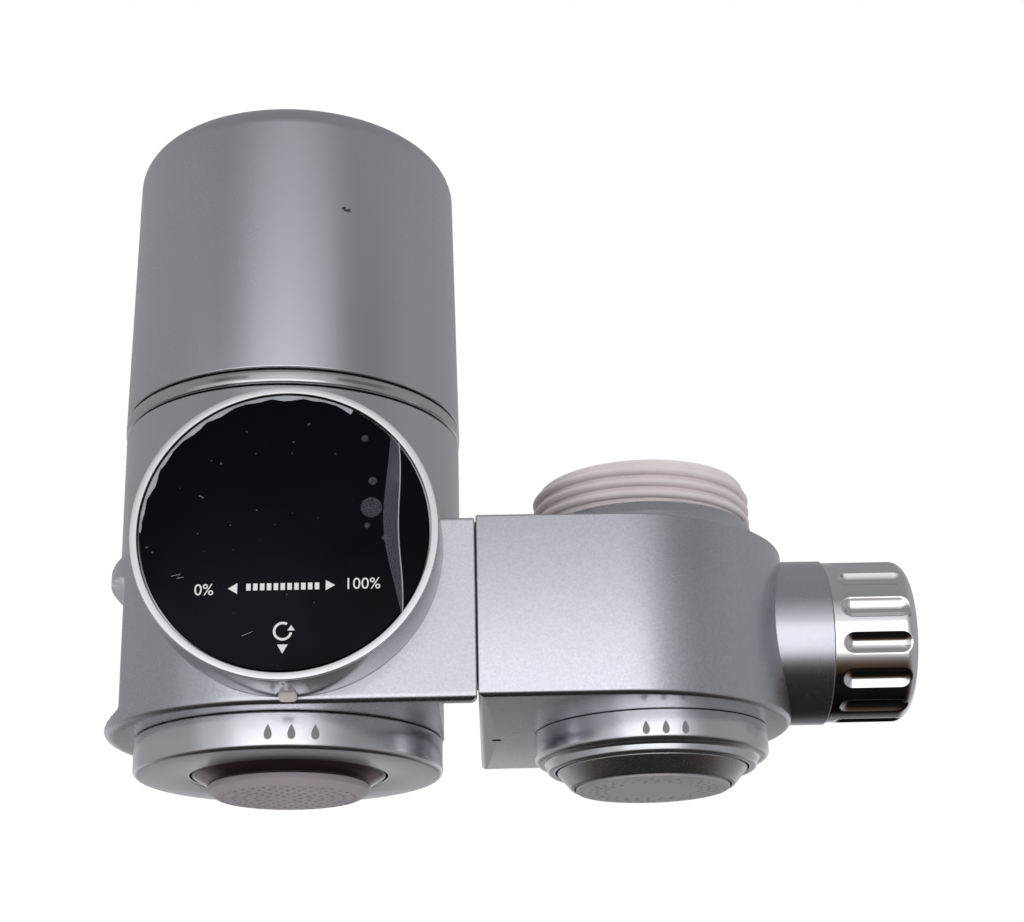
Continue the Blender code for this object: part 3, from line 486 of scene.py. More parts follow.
@dataclass(frozen=True)
class ClearResin(Finish):
    """Smoky see-through plastic with faint flow lines."""

    def dress(self, tree: ShaderTree) -> None:
        """Fills the tree.

        Args:
            tree: The empty tree of the material.
        """
        flow = tree.noise(150.0, 2.0, (1, 1, 3))
        tree.surface(
            base_color=tree.blend(flow, self.colour, tuple(c * 0.9 for c in self.colour)),
            roughness=flow * 0.05 + self.roughness,
            transmission_weight=0.85,
            ior=1.47,
            normal=tree.bump(flow, 0.15, 0.02),
        )


@dataclass(frozen=True)
class ThinFilm(Finish):
    """A protective film, nearly clear with whitish haze; a whiter copy paints highlights on its
    creases.
    """

    clear: float = 0.12

    def dress(self, tree: ShaderTree) -> None:
        """Fills the tree.

        Args:
            tree: The empty tree of the material.
        """
        wrinkle = tree.noise(180.0, 4.0, (1.0, 1.0, 0.35))
        haze = tree.noise(70.0, 4.0).band(0.5, 0.8)
        tree.surface(
            base_color=tree.blend(haze, self.colour, (0.7, 0.72, 0.76)),
            roughness=wrinkle * 0.2 + self.roughness,
            alpha=haze * 0.10 + self.clear,
            normal=tree.bump(wrinkle, 0.5, 0.3),
        )


class Palette:
    """Every finish of the part, made once and found by name."""

    def __init__(self) -> None:
        """Builds the materials."""
        silver = (0.57, 0.575, 0.612)
        finishes = [
            SatinSilver("satin_silver", silver, 0.27, 0.96, coat=0.2),
            # A lighter copy of the satin silver for the outlet rings: painted light, making up for
            # the light that the block and display keep from them.
            SatinSilver("ring_silver_painted_light", (0.70, 0.71, 0.735), 0.23, 0.96, coat=0.2, sparkle=0.012),
            SatinSilver("smooth_silver", silver, 0.27, 0.96, coat=0.2, sparkle=0.012),
            Plated("chrome", (0.86, 0.87, 0.88), 0.05, relief_mm=0.02),
            # A darker copy of the chrome for the ring under the cover: painted shade.
            Plated("chrome_painted_shade", (0.58, 0.58, 0.60), 0.05, relief_mm=0.02),
            Finish("bezel_silver", (0.68, 0.69, 0.70), 0.3, 0.95, 0.03),
            # A darker copy of the bezel's silver for the drum's side under the rim: painted shade.
            Finish("casing_silver_painted_shade", (0.50, 0.50, 0.52), 0.2, 0.97, 0.03),
            Finish("dark_satin", (0.47, 0.47, 0.48), 0.26, 0.95, 0.04, 3000.0, 0.0003, coat=0.2),
            Finish("inlet_plastic", (0.78, 0.70, 0.69), 0.42, 0.0, 0.05),
            Finish("grey_plastic", (0.48, 0.45, 0.465), 0.42, 0.3, 0.05, 2500.0, 0.01),
            Finish("spray_plastic", (0.41, 0.36, 0.39), 0.44, 0.0, 0.06),
            ClearResin("clear_plastic", (0.10, 0.062, 0.08), 0.05),
            DarkGlass("display_black", (0.0018, 0.0021, 0.0042), 0.04),
            Finish("reset_plastic", (0.62, 0.58, 0.55), 0.3, 0.0, 0.08),
            Finish("board_green", (0.02, 0.14, 0.06), 0.45, 0.0, 0.15, 1500.0, 0.05),
            Finish("rubber", (0.022, 0.022, 0.023), 0.65, 0.0, 0.2, 1200.0, 0.03),
            Finish("white_plastic", (0.72, 0.73, 0.74), 0.4, 0.0, 0.03),
            Finish("carbon_block", (0.03, 0.03, 0.032), 0.9, 0.0, 0.4, 1600.0, 0.25),
            Finish("steel", (0.55, 0.55, 0.56), 0.28, 1.0, 0.04, 1400.0),
            Finish("brass", (0.66, 0.47, 0.21), 0.3, 1.0, 0.06, 700.0),
            Finish("print_white", (0.80, 0.80, 0.80), 0.5, 0.0, 0.04),
            Finish("print_grey", (0.30, 0.30, 0.31), 0.5, 0.3, 0.05),
            # Near black: the cover's paint chips, and painted shade in the seam between block and
            # valve body.
            Finish("chips_and_painted_shade", (0.035, 0.033, 0.035), 0.6, 0.0, 0.1),
            ThinFilm("film_spot", (0.30, 0.32, 0.37), 0.2, clear=0.08),
            ThinFilm("clear_film", (0.42, 0.45, 0.52), 0.2, clear=0.07),
            # A whiter, less clear copy of the film: painted highlights on the fold's bead and the
            # crumpled top edge, and the film's own scratches.
            ThinFilm("film_highlight_and_scratch", (0.72, 0.75, 0.80), 0.2, clear=0.42),
        ]
        self.made = {finish.name: finish.make() for finish in finishes}

    def __getitem__(self, name: str) -> bpy.types.Material:
        """The material of that name."""
        return self.made[name]


# Meshes


def rounded(corners: Profile, steps: int = 5) -> list[tuple[float, float]]:
    """Fillets a closed (radius, height) outline.

    Args:
        corners: (radius, height) or (radius, height, fillet) points.
        steps: Segments in each fillet.

    Returns:
        The outline with its fillets drawn out.
    """
    made = []
    count = len(corners)
    for i, corner in enumerate(corners):
        here = Vector(corner[:2])
        size = corner[2] if len(corner) > 2 else 0.0
        if size <= 0:
            made.append(tuple(here))
            continue
        to_last = (Vector(corners[i - 1][:2]) - here).normalized()
        to_next = (Vector(corners[(i + 1) % count][:2]) - here).normalized()
        angle = to_last.angle(to_next)
        back = size / math.tan(angle / 2)
        centre = here + (to_last + to_next).normalized() * (size / math.sin(angle / 2))
        start = here + to_last * back - centre
        end = here + to_next * back - centre
        sweep = start.angle(end)
        spread = math.sin(sweep)
        for k in range(steps + 1):
            share = k / steps
            near = start * (math.sin((1 - share) * sweep) / spread)
            far = end * (math.sin(share * sweep) / spread)
            made.append(tuple(centre + (near + far)))
    return made


class Form:
    """Gathers closed shells of one piece and turns them into an object."""

    def __init__(self, name: str, seat: Seat) -> None:
        """Starts an empty piece in a local frame."""
        self.name = name
        self.seat = seat
        self.points: list[np.ndarray] = []
        self.faces: list[tuple[int, ...]] = []
        self.count = 0

    def _put(self, points: np.ndarray) -> int:
        """Stores local points and returns the first one's number.

        Args:
            points: An N by 3 array.

        Returns:
            The first point's number.
        """
        first = self.count
        self.points.append(np.asarray(points, float))
        self.count += len(points)
        return first

    def grid(self, points: np.ndarray, wrap_rows: bool = False, caps: bool = False) -> "Form":
        """Adds rows of points joined into quads, each row a closed ring.

        Args:
            points: rows by columns by 3.
            wrap_rows: Whether the last row meets the first.
            caps: Whether flat faces close the first and last rows.

        Returns:
            This form.
        """
        rows, columns = points.shape[:2]
        first = self._put(points.reshape(-1, 3))
        for r in range(rows if wrap_rows else rows - 1):
            for c in range(columns):
                d = (c + 1) % columns
                s = (r + 1) % rows
                corners = (r * columns + c, r * columns + d, s * columns + d, s * columns + c)
                self.faces.append(tuple(first + k for k in corners))
        if caps:
            self.faces.append(tuple(first + k for k in reversed(range(columns))))
            self.faces.append(tuple(first + (rows - 1) * columns + k for k in range(columns)))
        return self

    def revolve(
        self,
        corners: Profile,
        sides: int = 128,
        steps: int = 5,
        centre: tuple[float, float] = (0, 0),
    ) -> "Form":
        """Spins a closed, filleted outline round the local Z axis.

        Args:
            corners: The outline's corners, as rounded() takes them.
            sides: Segments round the axis.
            steps: Segments in each fillet.
            centre: Where the axis passes, in the local x and y.

        Returns:
            This form.
        """
        outline = np.array(rounded(corners, steps))
        turn = np.linspace(0, 2 * math.pi, sides, endpoint=False)
        radius = np.maximum(outline[:, 0:1], 1e-5)
        points = np.stack(
            [
                centre[0] + radius * np.cos(turn),
                centre[1] + radius * np.sin(turn),
                np.repeat(outline[:, 1:2], sides, axis=1),
            ],
            axis=-1,
        )
        return self.grid(points, wrap_rows=True)

    def rod(
        self,
        radius: float,
        low: float,
        high: float,
        sides: int = 96,
        centre: tuple[float, float] = (0, 0),
    ) -> "Form":
        """Adds a plain cylinder along the local Z axis.

        Args:
            radius: Its radius.
            low: Height of its lower end.
            high: Height of its upper end.
            sides: Segments round the axis.
            centre: Where the axis passes, in the local x and y.

        Returns:
            This form.
        """
        return self.revolve([(0, low), (radius, low), (radius, high), (0, high)], sides, 1, centre)

    def block(self, low: Sequence[float], high: Sequence[float]) -> "Form":
        """Adds a box between two corners.

        Args:
            low: Its least x, y and z.
            high: Its greatest x, y and z.

        Returns:
            This form.
        """
        x0, y0, z0 = low
        x1, y1, z1 = high
        ring = [(x0, y0), (x1, y0), (x1, y1), (x0, y1)]
        rows = np.array([[(x, y, z) for x, y in ring] for z in (z0, z1)], float)
        return self.grid(rows, caps=True)

    def plate(self, outline: Sequence[tuple[float, float]], low: float, high: float) -> "Form":
        """Extrudes a closed (x, y) outline.

        Args:
            outline: Its points.
            low: Height of the lower face.
            high: Height of the upper face.

        Returns:
            This form.
        """
        rows = np.array([[(x, y, z) for x, y in outline] for z in (low, high)], float)
        return self.grid(rows, caps=True)

    def object(self, material: bpy.types.Material, crease: float = 35.0) -> bpy.types.Object:
        """Makes the object, with its place in its mesh.

        Args:
            material: Its finish.
            crease: Edges sharper than this many degrees stay sharp.

        Returns:
            The object.
        """
        world = self.seat.place(np.concatenate(self.points))
        mesh = bpy.data.meshes.new(self.name)
        mesh.from_pydata(world.tolist(), [], self.faces)
        clean(mesh)
        mesh.materials.append(material)
        smooth(mesh, crease)
        made = bpy.data.objects.new(self.name, mesh)
        bpy.context.scene.collection.objects.link(made)
        return made


def clean(mesh: bpy.types.Mesh) -> None:
    """Merges doubled points, drops faces with no area and turns the rest outwards.

    Args:
        mesh: The mesh to mend.
    """
    bm = bmesh.new()
    bm.from_mesh(mesh)
    bmesh.ops.remove_doubles(bm, verts=bm.verts, dist=2e-7)
    bmesh.ops.dissolve_degenerate(bm, edges=bm.edges, dist=1e-8)
    bmesh.ops.recalc_face_normals(bm, faces=bm.faces)
    bm.to_mesh(mesh)
    bm.free()


def smooth(mesh: bpy.types.Mesh, crease: float) -> None:
    """Shades a mesh smooth, with its corners kept sharp.

    Args:
        mesh: The mesh.
        crease: Edges sharper than this many degrees stay sharp.
    """
    mesh.shade_smooth()
    mesh.set_sharp_from_angle(angle=math.radians(crease))


def flatten(made: bpy.types.Object, crease: float = 35.0) -> bpy.types.Object:
    """Turns an object's modifiers into plain mesh and removes them.

    Args:
        made: The object.
        crease: Edges sharper than this many degrees stay sharp.

    Returns:
        The same object.
    """
    graph = bpy.context.evaluated_depsgraph_get()
    graph.update()
    baked = bpy.data.meshes.new_from_object(
        made.evaluated_get(graph), preserve_all_data_layers=True, depsgraph=graph
    )
    made.modifiers.clear()
    made.data = baked
    clean(baked)
    smooth(baked, crease)
    return made


def carve(made: bpy.types.Object, *cutters: bpy.types.Object) -> bpy.types.Object:
    """Cuts the cutters out of an object and deletes them.

    Args:
        made: The object to cut.
        cutters: Closed objects.

    Returns:
        The cut object.
    """
    for cutter in cutters:
        step = made.modifiers.new("cut", "BOOLEAN")
        step.operation = "DIFFERENCE"
        step.solver = "EXACT"
        step.object = cutter
    flatten(made)
    for cutter in cutters:
        bpy.data.objects.remove(cutter, do_unlink=True)
    return made


def seed(name: str, seat: Seat, material: bpy.types.Material) -> bpy.types.Object:
    """A tiny object whose mesh a node tree replaces with its own form.

    Args:
        name: The piece's name.
        seat: Its frame.
        material: Its finish.

    Returns:
        The object.
    """
    return Form(name, seat).block((0, 0, 0), (0.1, 0.1, 0.1)).object(material)


def arc(
    radius: float, start: float, sweep: float, steps: int, middle: tuple[float, float] = (0.0, 0.0)
) -> list[tuple[float, float]]:
    """Points along an arc, both ends included.

    Args:
        radius: Its radius.
        start: Angle of its first point, in degrees.
        sweep: Degrees that it turns through.
        steps: Segments in it.
        middle: Its centre.

    Returns:
        The points.
    """
    made = []
    for i in range(steps + 1):
        angle = math.radians(start + sweep * i / steps)
        made.append((middle[0] + radius * math.cos(angle), middle[1] + radius * math.sin(angle)))
    return made


def half_round_ring(
    centre_x: float, radius: float, end_x: float, inset: float, corner: float, steps: int
) -> list[tuple[float, float]]:
    """One plan outline with a half-round end and a flat end, pulled in by an inset.

    Args:
        centre_x: Centre of the half-round end.
        radius: Its radius.
        end_x: Where the flat end stands.
        inset: How far the outline is pulled in.
        corner: Radius of the two upright corners.
        steps: Segments in the half-round end.

    Returns:
        The outline's points.
    """
    side = 1 if end_x < centre_x else -1
    half = radius - inset
    flat = end_x + side * inset
    fillet = max(corner - inset, 0.05)
    made = []
    for i in range(steps + 1):
        angle = math.radians(-90 + 180 * i / steps)
        made.append((centre_x + side * half * math.cos(angle), half * math.sin(angle)))
    for sign in (1, -1):
        middle = (flat + side * fillet, sign * (half - fillet))
        for k in range(7):
            angle = math.radians(90 * k / 6)
            sine, cosine = math.sin(angle), math.cos(angle)
            first, second = (sine, cosine) if sign > 0 else (cosine, sine)
            made.append((middle[0] - side * fillet * first, middle[1] + sign * fillet * second))
    return made


def soft_least(first: float, second: float, blend: float = 0.3) -> float:
    """The smaller of two numbers, with a soft change between them.

    Args:
        first: A number.
        second: A number.
        blend: How wide the change is.

    Returns:
        The softened minimum.
    """
    return -blend * math.log(math.exp(-first / blend) + math.exp(-second / blend))


def ease(value: float, low: float, high: float) -> float:
    """Rises smoothly from 0 at low to 1 at high.

    Args:
        value: Where to read the curve.
        low: Where it starts.
        high: Where it ends.

    Returns:
        A share from 0 to 1.
    """
    share = min(1.0, max(0.0, (value - low) / (high - low)))
    return share * share * (3 - 2 * share)


@dataclass(frozen=True)
class EndFlat:
    """The flat in the round end of a block, between two soft lips."""

    reach: float = 27.7
    low: float = 3.1
    high: float = 26.8
    lean: float = 1.7
    lip_edge: float = 1.4

    def limit(self, height: float) -> float:
        """How far the end may reach at one height.

        Args:
            height: Height over the underside.

        Returns:
            The reach from the axis.
        """
        open_end = 40.0 - self.reach
        above = ease(height, self.high - 0.3, self.high + 2 * self.lean)
        below = ease(-height, -self.low - 0.3, -self.low + 2 * self.lean)
        return self.reach + open_end * (above + below)

    def rounding(self, height: float, low: float, high: float) -> float:
        """How far the lips' outer edges are pulled in at one height.

        Args:
            height: Height over the underside.
            low: The underside.
            high: The top.

        Returns:
            The inset.
        """
        edge = self.lip_edge
        over = min(edge, max(0.0, height - (high - edge), low + edge - height))
        return edge - math.sqrt(edge**2 - over**2)


def d_body(
    form: Form,
    centre_x: float,
    radius: float,
    end_x: float,
    span: tuple[float, float],
    edges: tuple[float, float],
    flat: EndFlat | None = None,
) -> Form:
    """Lofts a half-round block with rounded top and bottom edges.

    Args:
        form: The form to add to.
        centre_x: Centre of the half-round end.
        radius: Its radius.
        end_x: Where the flat end stands.
        span: Height of the underside and of the top.
        edges: Radius of the bottom edge and of the top edge.
        flat: A flat in the round end.

    Returns:
        The form.
    """
    low, high = span
    low_edge, high_edge = edges
    rows = []
    for k in range(7):
        angle = math.radians(90 * k / 6)
        rows.append((low_edge * (1 - math.sin(angle)), low + low_edge * (1 - math.cos(angle))))
    if flat:
        between = np.linspace(low + low_edge, high - high_edge, 90)[1:-1]
        rows += [(0.0, float(z)) for z in between]
    for k in range(7):
        angle = math.radians(90 * k / 6)
        rows.append((high_edge * (1 - math.cos(angle)), high - high_edge * (1 - math.sin(angle))))
    points = []
    for inset, z in rows:
        ring = []
        for x, y in half_round_ring(centre_x, radius, end_x, inset, 0.25, 240 if flat else 96):
            if flat and x < centre_x:
                aside = math.degrees(math.atan2(abs(y), centre_x - x))
                pull = flat.rounding(z, low, high) * (1 - ease(aside, 38.0, 75.0))
                share = 1 - pull / (radius - inset)
                x = centre_x - soft_least((centre_x - x) * share, flat.limit(z))
                y *= share
            ring.append((x, y, z))
        points.append(ring)
    return form.grid(np.array(points), caps=True)


# Node-made forms


class FormTree:
    """A geometry node tree with named inputs."""

    def __init__(self, name: str, **inputs: float | int) -> None:
        """Makes the tree and one named input for each keyword."""
        self.group = bpy.data.node_groups.new(name, "GeometryNodeTree")
        side = self.group.interface
        side.new_socket("Geometry", in_out="INPUT", socket_type="NodeSocketGeometry")
        side.new_socket("Geometry", in_out="OUTPUT", socket_type="NodeSocketGeometry")
        for key, value in inputs.items():
            kind = "NodeSocketInt" if isinstance(value, int) else "NodeSocketFloat"
            side.new_socket(key, in_out="INPUT", socket_type=kind).default_value = value
        self.start = self.group.nodes.new("NodeGroupInput")
        self.end = self.group.nodes.new("NodeGroupOutput")

    def node(
        self, kind: str, settings: dict | None = None, inputs: dict | None = None
    ) -> bpy.types.Node:
        """Adds a node; an input may be a value, a socket or the name of a tree input.

        Args:
            kind: The node's type name.
            settings: Properties, set before the sockets.
            inputs: Values by socket name or number.

        Returns:
            The node.
        """
        made = self.group.nodes.new(kind)
        for name, value in (settings or {}).items():
            setattr(made, name, value)
        for key, value in (inputs or {}).items():
            if isinstance(value, str):
                self.group.links.new(self.start.outputs[value], made.inputs[key])
            elif isinstance(value, bpy.types.NodeSocket):
                self.group.links.new(value, made.inputs[key])
            else:
                made.inputs[key].default_value = value
        return made

    def maths(self, operation: str, *values: object) -> bpy.types.NodeSocket:
        """One Math node's result.

        Args:
            operation: What it works out.
            values: Numbers, sockets or names of tree inputs.

        Returns:
            The result socket.
        """
        made = self.node("ShaderNodeMath", {"operation": operation}, dict(enumerate(values)))
        return made.outputs[0]

    def finish(self, socket: bpy.types.NodeSocket, material: bpy.types.Material) -> None:
        """Ends the tree in Realize Instances and Set Material.

        Args:
            socket: The geometry.
            material: Its finish.
        """
        real = self.node("GeometryNodeRealizeInstances", None, {0: socket})
        dressed = self.node(
            "GeometryNodeSetMaterial", None, {"Geometry": real.outputs[0], "Material": material}
        )
        self.group.links.new(dressed.outputs[0], self.end.inputs[0])

    def grow(self, made: bpy.types.Object, **values: float | int) -> bpy.types.Object:
        """Puts the tree on an object, sets its inputs and leaves plain mesh.

        Args:
            made: The object.
            values: Input values by name.

        Returns:
            The object.
        """
        step = made.modifiers.new(self.group.name, "NODES")
        step.node_group = self.group
        sockets = {item.name: item.identifier for item in self.group.interface.items_tree}
        for key, value in values.items():
            step[sockets[key]] = value
        return flatten(made)


def perforation(material: bpy.types.Material) -> FormTree:
    """A tree that drills one ring of holes through a plate that lies across the local Z axis.

    Args:
        material: The plate's finish.

    Returns:
        The tree, with inputs in metres.
    """
    tree = FormTree(
        "drill_ring",
        Holes=12, Ring=0.01, Bore=0.0005, CentreX=0.0, CentreZ=0.0, Depth=0.01, Start=0.0,
    )
    ring = tree.node("GeometryNodeMeshCircle", None, {"Vertices": "Holes", "Radius": "Ring"})
    drill = tree.node(
        "GeometryNodeMeshCylinder", None, {"Vertices": 12, "Radius": "Bore", "Depth": "Depth"}
    )
    spread = tree.node(
        "GeometryNodeInstanceOnPoints",
        None,
        {"Points": ring.outputs[0], "Instance": drill.outputs[0]},
    )
    centre = tree.node("ShaderNodeCombineXYZ", None, {0: "CentreX", 2: "CentreZ"})
    turn = tree.node("ShaderNodeCombineXYZ", None, {2: "Start"})
    placed = tree.node(
        "GeometryNodeTransform",
        None,
        {
            "Geometry": spread.outputs[0],
            "Translation": centre.outputs[0],
            "Rotation": turn.outputs[0],
        },
    )
    solid = tree.node("GeometryNodeRealizeInstances", None, {0: placed.outputs[0]})
    cut = tree.node("GeometryNodeMeshBoolean", {"operation": "DIFFERENCE", "solver": "EXACT"})
    tree.group.links.new(tree.start.outputs["Geometry"], cut.inputs["Mesh 1"])
    tree.group.links.new(solid.outputs[0], cut.inputs["Mesh 2"])
    tree.finish(cut.outputs[0], material)
    return tree


def drill_rings(
    plate: bpy.types.Object,
    material: bpy.types.Material,
    seat: Seat,
    rings: Iterable[tuple[int, float, float]],
    bore: float,
    level: float,
    depth: float,
) -> None:
    """Drills rings of holes through a spray plate.

    Args:
        plate: The plate.
        material: Its finish.
        seat: The plate's frame.
        rings: Number of holes, radius and first angle in degrees of each ring.
        bore: Radius of a hole.
        level: Height of the drills' middle.
        depth: Their length.
    """
    drill = perforation(material)
    for holes, radius, start in rings:
        drill.grow(
            plate,
            Holes=holes,
            Ring=radius * MM,
            Bore=bore * MM,
            CentreX=seat.x * MM,
            CentreZ=(seat.z + level) * MM,
            Depth=depth * MM,
            Start=math.radians(start),
        )


def winding_ridge(material: bpy.types.Material) -> FormTree:
    """A tree that sweeps a rounded ridge along a helix, for the inlet's screw thread.

    Args:
        material: The thread's finish.

    Returns:
        The tree, with inputs in metres.
    """
    tree = FormTree("winding_ridge", Turns=3.0, Rise=0.006, Root=0.019, Foot=0.0, Width=0.0006)
    helix = tree.node(
        "GeometryNodeCurveSpiral",
        None,
        {
            "Resolution": 96,
            "Rotations": "Turns",
            "Start Radius": "Root",
            "End Radius": "Root",
            "Height": "Rise",
        },
    )
    foot = tree.node("ShaderNodeCombineXYZ", None, {2: "Foot"})
    raised = tree.node(
        "GeometryNodeTransform",
        None,
        {"Geometry": helix.outputs[0], "Translation": foot.outputs[0]},
    )
    along = tree.node("GeometryNodeSplineParameter")
    rest = tree.maths("SUBTRACT", 1.0, along.outputs[0])
    ends = tree.maths("MULTIPLY", tree.maths("MINIMUM", along.outputs[0], rest), 14.0)
    ramp = tree.node("ShaderNodeClamp", None, {0: ends, 1: 0.15, 2: 1.0})
    sized = tree.node(
        "GeometryNodeSetCurveRadius", None, {"Curve": raised.outputs[0], "Radius": ramp.outputs[0]}
    )
    section = tree.node(
        "GeometryNodeCurvePrimitiveCircle", None, {"Resolution": 12, "Radius": "Width"}
    )
    swept = tree.node(
        "GeometryNodeCurveToMesh",
        None,
        {"Curve": sized.outputs[0], "Profile Curve": section.outputs[0], "Fill Caps": True},
    )
    tree.finish(swept.outputs[0], material)
    return tree


def bar_row(material: bpy.types.Material) -> FormTree:
    """A tree that lays a row of equal upright bars along X.

    Args:
        material: The bars' finish.

    Returns:
        The tree, with inputs in metres.
    """
    tree = FormTree(
        "bar_row",
        Bars=8, Pitch=0.0012, Wide=0.0007, Tall=0.001, Thick=0.00005, X=0.0, Y=0.0, Z=0.0,
    )
    step = tree.node("ShaderNodeCombineXYZ", None, {0: "Pitch"})
    origin = tree.node("ShaderNodeCombineXYZ", None, {0: "X", 1: "Y", 2: "Z"})
    line = tree.node(
        "GeometryNodeMeshLine",
        None,
        {"Count": "Bars", "Start Location": origin.outputs[0], "Offset": step.outputs[0]},
    )
    size = tree.node("ShaderNodeCombineXYZ", None, {0: "Wide", 1: "Thick", 2: "Tall"})
    bar = tree.node("GeometryNodeMeshCube", None, {"Size": size.outputs[0]})
    laid = tree.node(
        "GeometryNodeInstanceOnPoints",
        None,
        {"Points": line.outputs[0], "Instance": bar.outputs[0]},
    )
    tree.finish(laid.outputs[0], material)
    return tree


def wire_mesh(material: bpy.types.Material) -> FormTree:
    """A tree that crosses two layers of wires in the strainer's round opening.

    Args:
        material: The wires' finish.

    Returns:
        The tree, with inputs in metres.
    """
    tree = FormTree("wire_mesh", Wires=17, Pitch=0.0012, Wire=0.00016, Reach=0.01, Level=0.0)
    parts = []
    for turned in (False, True):
        gaps = tree.maths("SUBTRACT", "Wires", 1.0)
        span = tree.maths("MULTIPLY", gaps, tree.maths("MULTIPLY", "Pitch", -0.5))
        first, second = (1, 0) if turned else (0, 1)
        start = tree.node("ShaderNodeCombineXYZ", None, {first: span, 2: "Level"})
        step = tree.node("ShaderNodeCombineXYZ", None, {first: "Pitch"})
        line = tree.node(
            "GeometryNodeMeshLine",
            None,
            {"Count": "Wires", "Start Location": start.outputs[0], "Offset": step.outputs[0]},
        )
        place = tree.node("GeometryNodeInputPosition")
        split = tree.node("ShaderNodeSeparateXYZ", None, {0: place.outputs[0]})
        squared = tree.maths("POWER", split.outputs[first], 2.0)
        inside = tree.maths("SUBTRACT", tree.maths("POWER", "Reach", 2.0), squared)
        chord = tree.maths("SQRT", tree.maths("MAXIMUM", inside, 0.0))
        rod = tree.node(
            "GeometryNodeMeshCylinder", None, {"Vertices": 6, "Radius": "Wire", "Depth": 2.0}
        )
        scale = tree.node("ShaderNodeCombineXYZ", None, {0: 1.0, 1: 1.0, 2: chord})
        lay = (0.0, math.radians(90), 0.0) if second == 0 else (math.radians(90), 0.0, 0.0)
        wires = tree.node(
            "GeometryNodeInstanceOnPoints",
            None,
            {
                "Points": line.outputs[0],
                "Instance": rod.outputs[0],
                "Rotation": lay,
                "Scale": scale.outputs[0],
            },
        )
        parts.append(wires.outputs[0])
    joined = tree.node("GeometryNodeJoinGeometry")
    for part in parts:
        tree.group.links.new(part, joined.inputs[0])
    tree.finish(joined.outputs[0], material)
    return tree


# Sub-assemblies


@dataclass
class Assembly:
    """What every sub-assembly has: the palette and a way to hand over a piece."""

    palette: Palette

    def keep(
        self, made: bpy.types.Object, body: Body, slot: str, replaces: Iterable[str] = ()
    ) -> None:
        """Hands a piece over to its body.

        Args:
            made: The piece.
            body: The body it rides on.
            slot: The record's material slot; not used.
            replaces: CAD nodes that it stands for.
        """
        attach(made, body.value)
        if replaces:
            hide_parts(*replaces)
        log.info("%s rides on %s, %d faces", made.name, body.value, len(made.data.polygons))

    def add(
        self,
        form: Form,
        look: str,
        slot: str,
        *replaces: str,
        body: Body = Body.FIXED,
        crease: float = 35.0,
    ) -> None:
        """Makes a form's object and hands it over.

        Args:
            form: The finished form.
            look: Name of its finish.
            slot: The record's material slot.
            replaces: CAD nodes that it stands for.
            body: The body it rides on.
            crease: Edges sharper than this many degrees stay sharp.
        """
        self.keep(form.object(self.palette[look], crease), body, slot, replaces)


@dataclass
class CoverAssembly(Assembly):
    """The lift-off cover and the bright ring under it."""

    seat_height: float = 60.6
    top: float = 115.0
    bottom_radius: float = 31.55
    top_radius: float = 30.65
    edge: float = 5.2
    wall: float = 1.9
    ring_low: float = 57.6
    ring_high: float = 60.3
    ring_radius: float = 31.6
    ring_bore: float = 29.2
    chip_relief: float = 0.012
    chips: tuple[tuple[float, float, float, float], ...] = (
        (-67.9, 93.0, 0.42, 0.5),
        (-67.0, 92.7, 0.5, 0.3),
        (-66.1, 92.9, 0.35, 0.35),
    )

    def build(self) -> None:
        """Builds the cover, its ring and the specks on its side."""
        inner_top = self.top_radius - self.wall
        outline = [
            (self.bottom_radius, self.seat_height, 0.35),
            (self.top_radius, self.top, self.edge),
            (0, self.top),
            (0, self.top - self.wall),
            (inner_top, self.top - self.wall, self.edge - self.wall),
            (self.bottom_radius - self.wall, self.seat_height, 0.2),
        ]
        shell = Form("cover_shell", FILTER).revolve(outline, 192, 12)
        made = shell.object(self.palette["smooth_silver"])
        self.keep(made, Body.COVER, "satin_silver", ["filter_cover"])
        band = [
            (self.ring_bore, self.ring_low),
            (self.ring_radius, self.ring_low, 0.7),
            (self.ring_radius, self.ring_high, 0.7),
            (self.ring_bore, self.ring_high),
        ]
        ring = Form("bright_ring", FILTER).revolve(band, 192, 6)
        # The ring takes the darker copy of the chrome: painted shade.
        self.add(ring, "chrome_painted_shade", "chrome", "cover_trim_ring")
        self.specks()

    def specks(self) -> None:
        """Adds the few small chips that the cover's paint has."""
        form = Form("cover_specks", FILTER)
        taper = (self.bottom_radius - self.top_radius) / (self.top - self.seat_height)
        up = np.array([0.0, 0.0, 1.0])
        for angle, height, wide, tall in self.chips:
            radius = self.bottom_radius - taper * (height - self.seat_height) + self.chip_relief
            turn = math.radians(angle)
            side = np.array([-math.sin(turn), math.cos(turn), 0.0])
            out = np.array([math.cos(turn), math.sin(turn), 0.0])
            ring = []
            for k in range(9):
                a = 2 * math.pi * k / 9
                reach = 1 + 0.3 * math.sin(3 * a + height)
                ring.append(side * wide * reach * math.cos(a) + up * tall * reach * math.sin(a))
            rows = [
                [out * level + up * height + point * share for point in ring]
                for level, share in ((radius - 0.2, 1.0), (radius, 0.9))
            ]
            form.grid(np.array(rows), caps=True)
        self.add(form, "chips_and_painted_shade", "satin_silver", body=Body.COVER)


